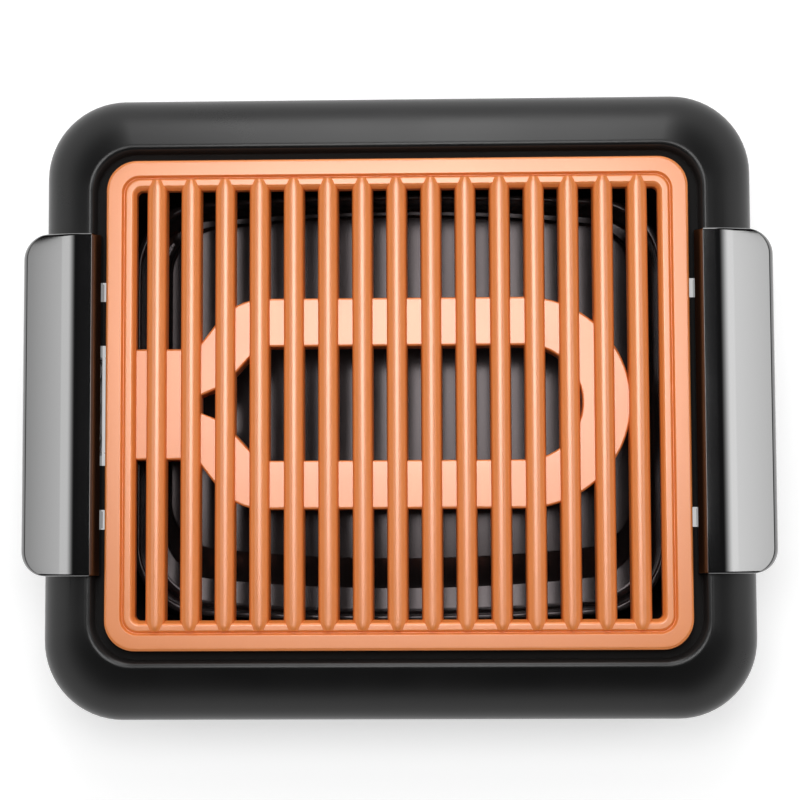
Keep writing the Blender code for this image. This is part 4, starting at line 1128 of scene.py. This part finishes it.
def makeLoop():
    curve = bpy.data.curves.new("heaterLoop", "CURVE")
    curve.dimensions = "2D"
    curve.fill_mode = "BOTH"
    curve.extrude = loop["thickness"] / 2 - loop["soft"]
    curve.bevel_depth = loop["soft"]
    curve.bevel_resolution = 3
    curve.offset = -loop["soft"]
    for points in loopOutlines():
        spline = curve.splines.new("POLY")
        spline.points.add(len(points) - 1)
        for point, (x, y) in zip(spline.points, points):
            point.co = (x, y, 0, 1)
        spline.use_cyclic_u = True
    drawn = linked("heaterLoopDrawn", curve)
    mesh = solved(drawn)
    bpy.data.objects.remove(drawn, do_unlink=True)
    mesh.transform(Matrix.Translation((0, 0, loopLowZ + loop["thickness"] / 2)))
    made = outward(linked("heaterLoop", mesh))
    guardLow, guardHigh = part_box("guard_screw_front")
    holeX = (guardLow.x + guardHigh.x) / 2
    holeY = -(guardLow.y + guardHigh.y) / 2
    boreEnd = (loopEndX + sleeve["inside"] + slip, 0, axisZ)
    holes = [((loopEndX - overrun, 0, axisZ), boreEnd, sleeve["radius"] + slip)]
    pilot, depth = loop["pilot"]
    holes += [((holeX, y, loopLowZ - overrun), (holeX, y, loopLowZ + depth), pilot) for y in (-holeY, holeY)]
    carve(made, "DIFFERENCE", [makeGroove(), rods("bores", holes)])
    hand(shaded(made, castCopper), "plate", "plate_coat", "grill_plate")


def makeElement():
    path = wireMesh("heaterTube", [(x, y, axisZ) for x, y in elementLine(loopEndX + slip)])
    sizes = {"Radius": element["radius"], "Facets": 28}
    made = grow(path, makeTubeTree(sizes), elementSteel, sizes)
    hand(shaded(made, elementSteel), "plate", "element_steel", "heating_element")


makeFrame()
makeBars()
makeLoop()
makeElement()
print("grill plate, bars, heater loop and element made")


# Terminals: two pins with their insulators, and the sleeve for the probe

terminal = {"pin": 0.003, "pinLength": 0.0122, "ring": 0.0047, "ringLength": 0.005}


def tubeProfile(bore, wide, long, edges):
    profile = rounded(list(zip((bore, wide, wide, bore), (long, long, 0, 0), edges)), True, 4)
    return profile + profile[:1]


def twoOf(name, profile, place, finish, slot, *nodes):
    one = turned(name, profile, 40, (-1, 0, 0), (place[0], 0, place[2]))
    hand(inRows(one, finish, 1, 2, 0.0, 2 * place[1]), "plate", slot, *nodes)


def makeTerminals():
    place = (loopEndX - gap, element["spacing"] / 2, axisZ)
    long, thick = terminal["pinLength"], terminal["pin"]
    pin = rounded([(0, long, 0), (thick, long, 0.0014), (thick, 0, 0)], False, 5) + [(0, 0)]
    twoOf("terminalPins", pin, place, pinSteel, "terminal_metal", "terminal_pin_front", "terminal_pin_rear")
    edges = (0.0004, 0.0007, 0.0004, 0.0003)
    ring = tubeProfile(thick + slip, terminal["ring"], terminal["ringLength"], edges)
    twoOf("insulators", ring, place, ceramic, "ceramic", "insulator_front", "insulator_rear")
    long = sleeve["inside"] + sleeve["outside"]
    tube = tubeProfile(sleeve["bore"], sleeve["radius"], long, (0.0003, 0.0004, 0.0002, 0.0002))
    made = turned("probeSleeve", tube, 48, (-1, 0, 0), (loopEndX + sleeve["inside"], 0, axisZ))
    hand(shaded(made, pinSteel), "plate", "terminal_metal", "probe_sleeve")


makeTerminals()

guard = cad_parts["terminal_guard"]
for materialSlot in guard.material_slots:
    materialSlot.material = guardSteel


# Screws and feet, each made once and set in rows

screws = {
    "handle": {"head": 0.0056, "height": 0.0024, "shank": 0.0015, "reach": 0.0095, "cross": 0.0026},
    "guard": {"head": 0.0030, "height": 0.0019, "shank": 0.0013, "reach": 0.0065, "cross": 0.0015},
}
thread = {"room": 0.0012, "pitch": 0.0011, "start": 0.0008, "flank": 0.0004, "root": 0.72, "point": 0.3}
screwHead = {"dome": 0.62, "slotWidth": 0.18, "slotDepth": 0.45}


def makeScrews(name, kind, nodes, body, columns):
    size = screws[kind]
    low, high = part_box(nodes[0])
    first = (low + high) / 2
    top = low.z + size["height"]
    head, shank = size["head"], size["shank"]
    profile = [(0, top + size["reach"]), (shank * thread["point"], top + size["reach"])]
    for index in range(int(size["reach"] / thread["room"])):
        z = top + size["reach"] - thread["start"] - index * thread["pitch"]
        profile += [(shank * thread["root"], z), (shank, z - thread["flank"])]
    profile += [(shank, top), (head, top)]
    dome = size["height"] * screwHead["dome"]
    profile += rounded([(head, top, 0), (head, low.z, dome), (0, low.z, 0)], False, 7)[1:]
    one = turned(name, profile, 40)
    arm, deep = size["cross"], size["height"] * screwHead["slotDepth"]
    thin = arm * screwHead["slotWidth"]
    cross = []
    for across, along in ((arm, thin), (thin, arm)):
        cross.append(((-across, -along, low.z - 0.001), (across, along, low.z + deep)))
    carve(one, "DIFFERENCE", [boxes("cross", cross[:1]), boxes("cross", cross[1:])])
    middleX = first.x if columns == 1 else 0.0
    made = inRows(one, screwSteel, columns, 2, 2 * abs(first.x), 2 * abs(first.y), middleX)
    hand(made, body, "screw_steel", *nodes)


handleScrews = ["handle_screw_" + side + "_" + end for side in ("left", "right") for end in ("front", "rear")]
makeScrews("handleScrews", "handle", handleScrews, "base", 2)
makeScrews("guardScrews", "guard", ["guard_screw_front", "guard_screw_rear"], "plate", 1)

foot = {
    "radius": 0.0105,
    "taper": 0.001,
    "soft": 0.0012,
    "stem": 0.003,
    "stemEdge": 0.0006,
    "toe": 0.0014,
    "grooves": (0.0072, 0.0044),
    "groove": 0.0006,
}


def makeFeet():
    nodes = ["foot_" + end + "_" + side for end in ("front", "rear") for side in ("left", "right")]
    low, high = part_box(nodes[0])
    first = (low + high) / 2
    wide = foot["radius"]
    top = base["floorZ"] - base["wall"] - gap
    stem, edge, soft = foot["stem"], foot["stemEdge"], foot["soft"]
    outer = [(stem, top, 0), (wide - foot["taper"], top, edge)]
    outer += [(wide, soft, soft), (wide - foot["toe"], 0, 0.0004)]
    profile = [(0, high.z), (stem - edge, high.z), (stem, high.z - edge), (stem, top)]
    profile += rounded(outer + [(0, 0, 0)], False, 5)[1:-1]
    deep = foot["groove"]
    for radius in foot["grooves"]:
        profile += [(radius + deep, 0), (radius + 0.0003, deep), (radius - 0.0003, deep), (radius - deep, 0)]
    profile.append((0, 0))
    one = turned("rubberFeet", profile, 48)
    made = inRows(one, rubber, 2, 2, 2 * abs(first.x), 2 * abs(first.y))
    hand(made, "base", "foot_rubber", *nodes)


makeFeet()
print("terminals, screws and feet made")


# Studio: floor, lamps, world and camera

studio = {
    "floor": 6.0,
    "floorColour": (0.70, 0.70, 0.70),
    "floorGlow": 0.54,
    "fill": (0.98, 0.0),          # at the horizon and overhead, for light that isn't mirrored
    "zenith": (0.38, 0.64),       # heights between which the white background falls to the ceiling's level
    "ceiling": 0.02,
}
lamps = {                         # place, size, watts, soft shares of the width at left and right, tilt
    "centreBank": ((-0.03, 0.225, 1.49), (0.70, 0.55), 7.3, (0.12, 0.08), 0),
    "rightBank": ((1.025, 0.113, 1.49), (1.05, 0.54), 5.0, (0.40, 0.41), 0),
    "leftBank": ((-1.085, 0.113, 1.49), (0.97, 0.54), 3.5, (0.32, 0.34), 0),
    "backBank": ((0.0, 1.62, 1.62), (1.4, 1.7), 36.0, (0.5, 0.5), -66),
}
view = {
    "lens": 99.0,
    "place": (0.0386, -0.0978, 1.302),
    "turn": {"Z": 0.376, "Y": -1.734, "X": -4.66},            # degrees
}


def makeFloor():
    half = studio["floor"] / 2
    mesh = bpy.data.meshes.new("floor")
    corners = [(-half, -half, 0), (half, -half, 0), (half, half, 0), (-half, half, 0)]
    mesh.from_pydata(corners, [], [(0, 1, 2, 3)])
    floor = linked("floor", mesh)
    finish = Finish("paleFloor", {"Base Color": studio["floorColour"], "Roughness": 0.9})
    glow = finish.node("ShaderNodeEmission", {"Color": (1.0, 1.0, 1.0), "Strength": 1.0})
    principled = Wire(finish, finish.shader.outputs[0])
    light = finish.node("ShaderNodeMixShader", {0: finish.seen() * studio["floorGlow"], 2: glow})
    mixed = finish.node("ShaderNodeAddShader", {0: principled, 1: light})
    finish.feed(finish.tree.nodes["Material Output"].inputs["Surface"], mixed)
    mesh.materials.append(finish.material)


def makeLamps():
    for name, (place, size, watts, soft, tilt) in lamps.items():
        light = bpy.data.lights.new(name, "AREA")
        light.shape = "RECTANGLE"
        light.size, light.size_y = size
        light.energy = watts
        light.use_nodes = True
        graph = Graph(light.node_tree)
        across = graph.axes(graph.node("ShaderNodeNewGeometry", out="Parametric"))["X"]
        strength = graph.rise(across, soft[0]) * graph.rise(1 - across, soft[1])
        graph.feed(graph.tree.nodes["Emission"].inputs["Strength"], strength)
        made = linked(name, light)
        made.location = place
        made.rotation_euler.x = math.radians(tilt)
        made.visible_camera = False


def makeWorld():
    world = bpy.data.worlds.new("studio")
    bpy.context.scene.world = world
    world.use_nodes = True
    graph = Graph(world.node_tree)
    height = graph.axes(graph.node("ShaderNodeTexCoord", out="Generated"))["Z"]
    white = graph.spread(height, 1.0, studio["ceiling"], *studio["zenith"])
    fill = graph.spread(height, *studio["fill"], 0.0, 1.0)
    seen = graph.seen()
    strength = seen * white + (1 - seen) * fill
    background = world.node_tree.nodes["Background"]
    graph.feed(background.inputs["Color"], (1.0, 1.0, 1.0))
    graph.feed(background.inputs["Strength"], strength)


def makeCamera():
    lens = bpy.data.cameras.new("camera")
    lens.sensor_width = 36.0
    lens.lens = view["lens"]
    lens.clip_start = 0.05
    camera = linked("camera", lens)
    turn = Matrix.Identity(3)
    for axis, degrees in view["turn"].items():
        turn = turn @ Matrix.Rotation(math.radians(degrees), 3, axis)
    camera.matrix_world = Matrix.Translation(view["place"]) @ turn.transposed().to_4x4()
    bpy.context.scene.camera = camera


makeFloor()
makeLamps()
makeWorld()
makeCamera()
bpy.context.scene.view_settings.view_transform = "Standard"
print("studio set")
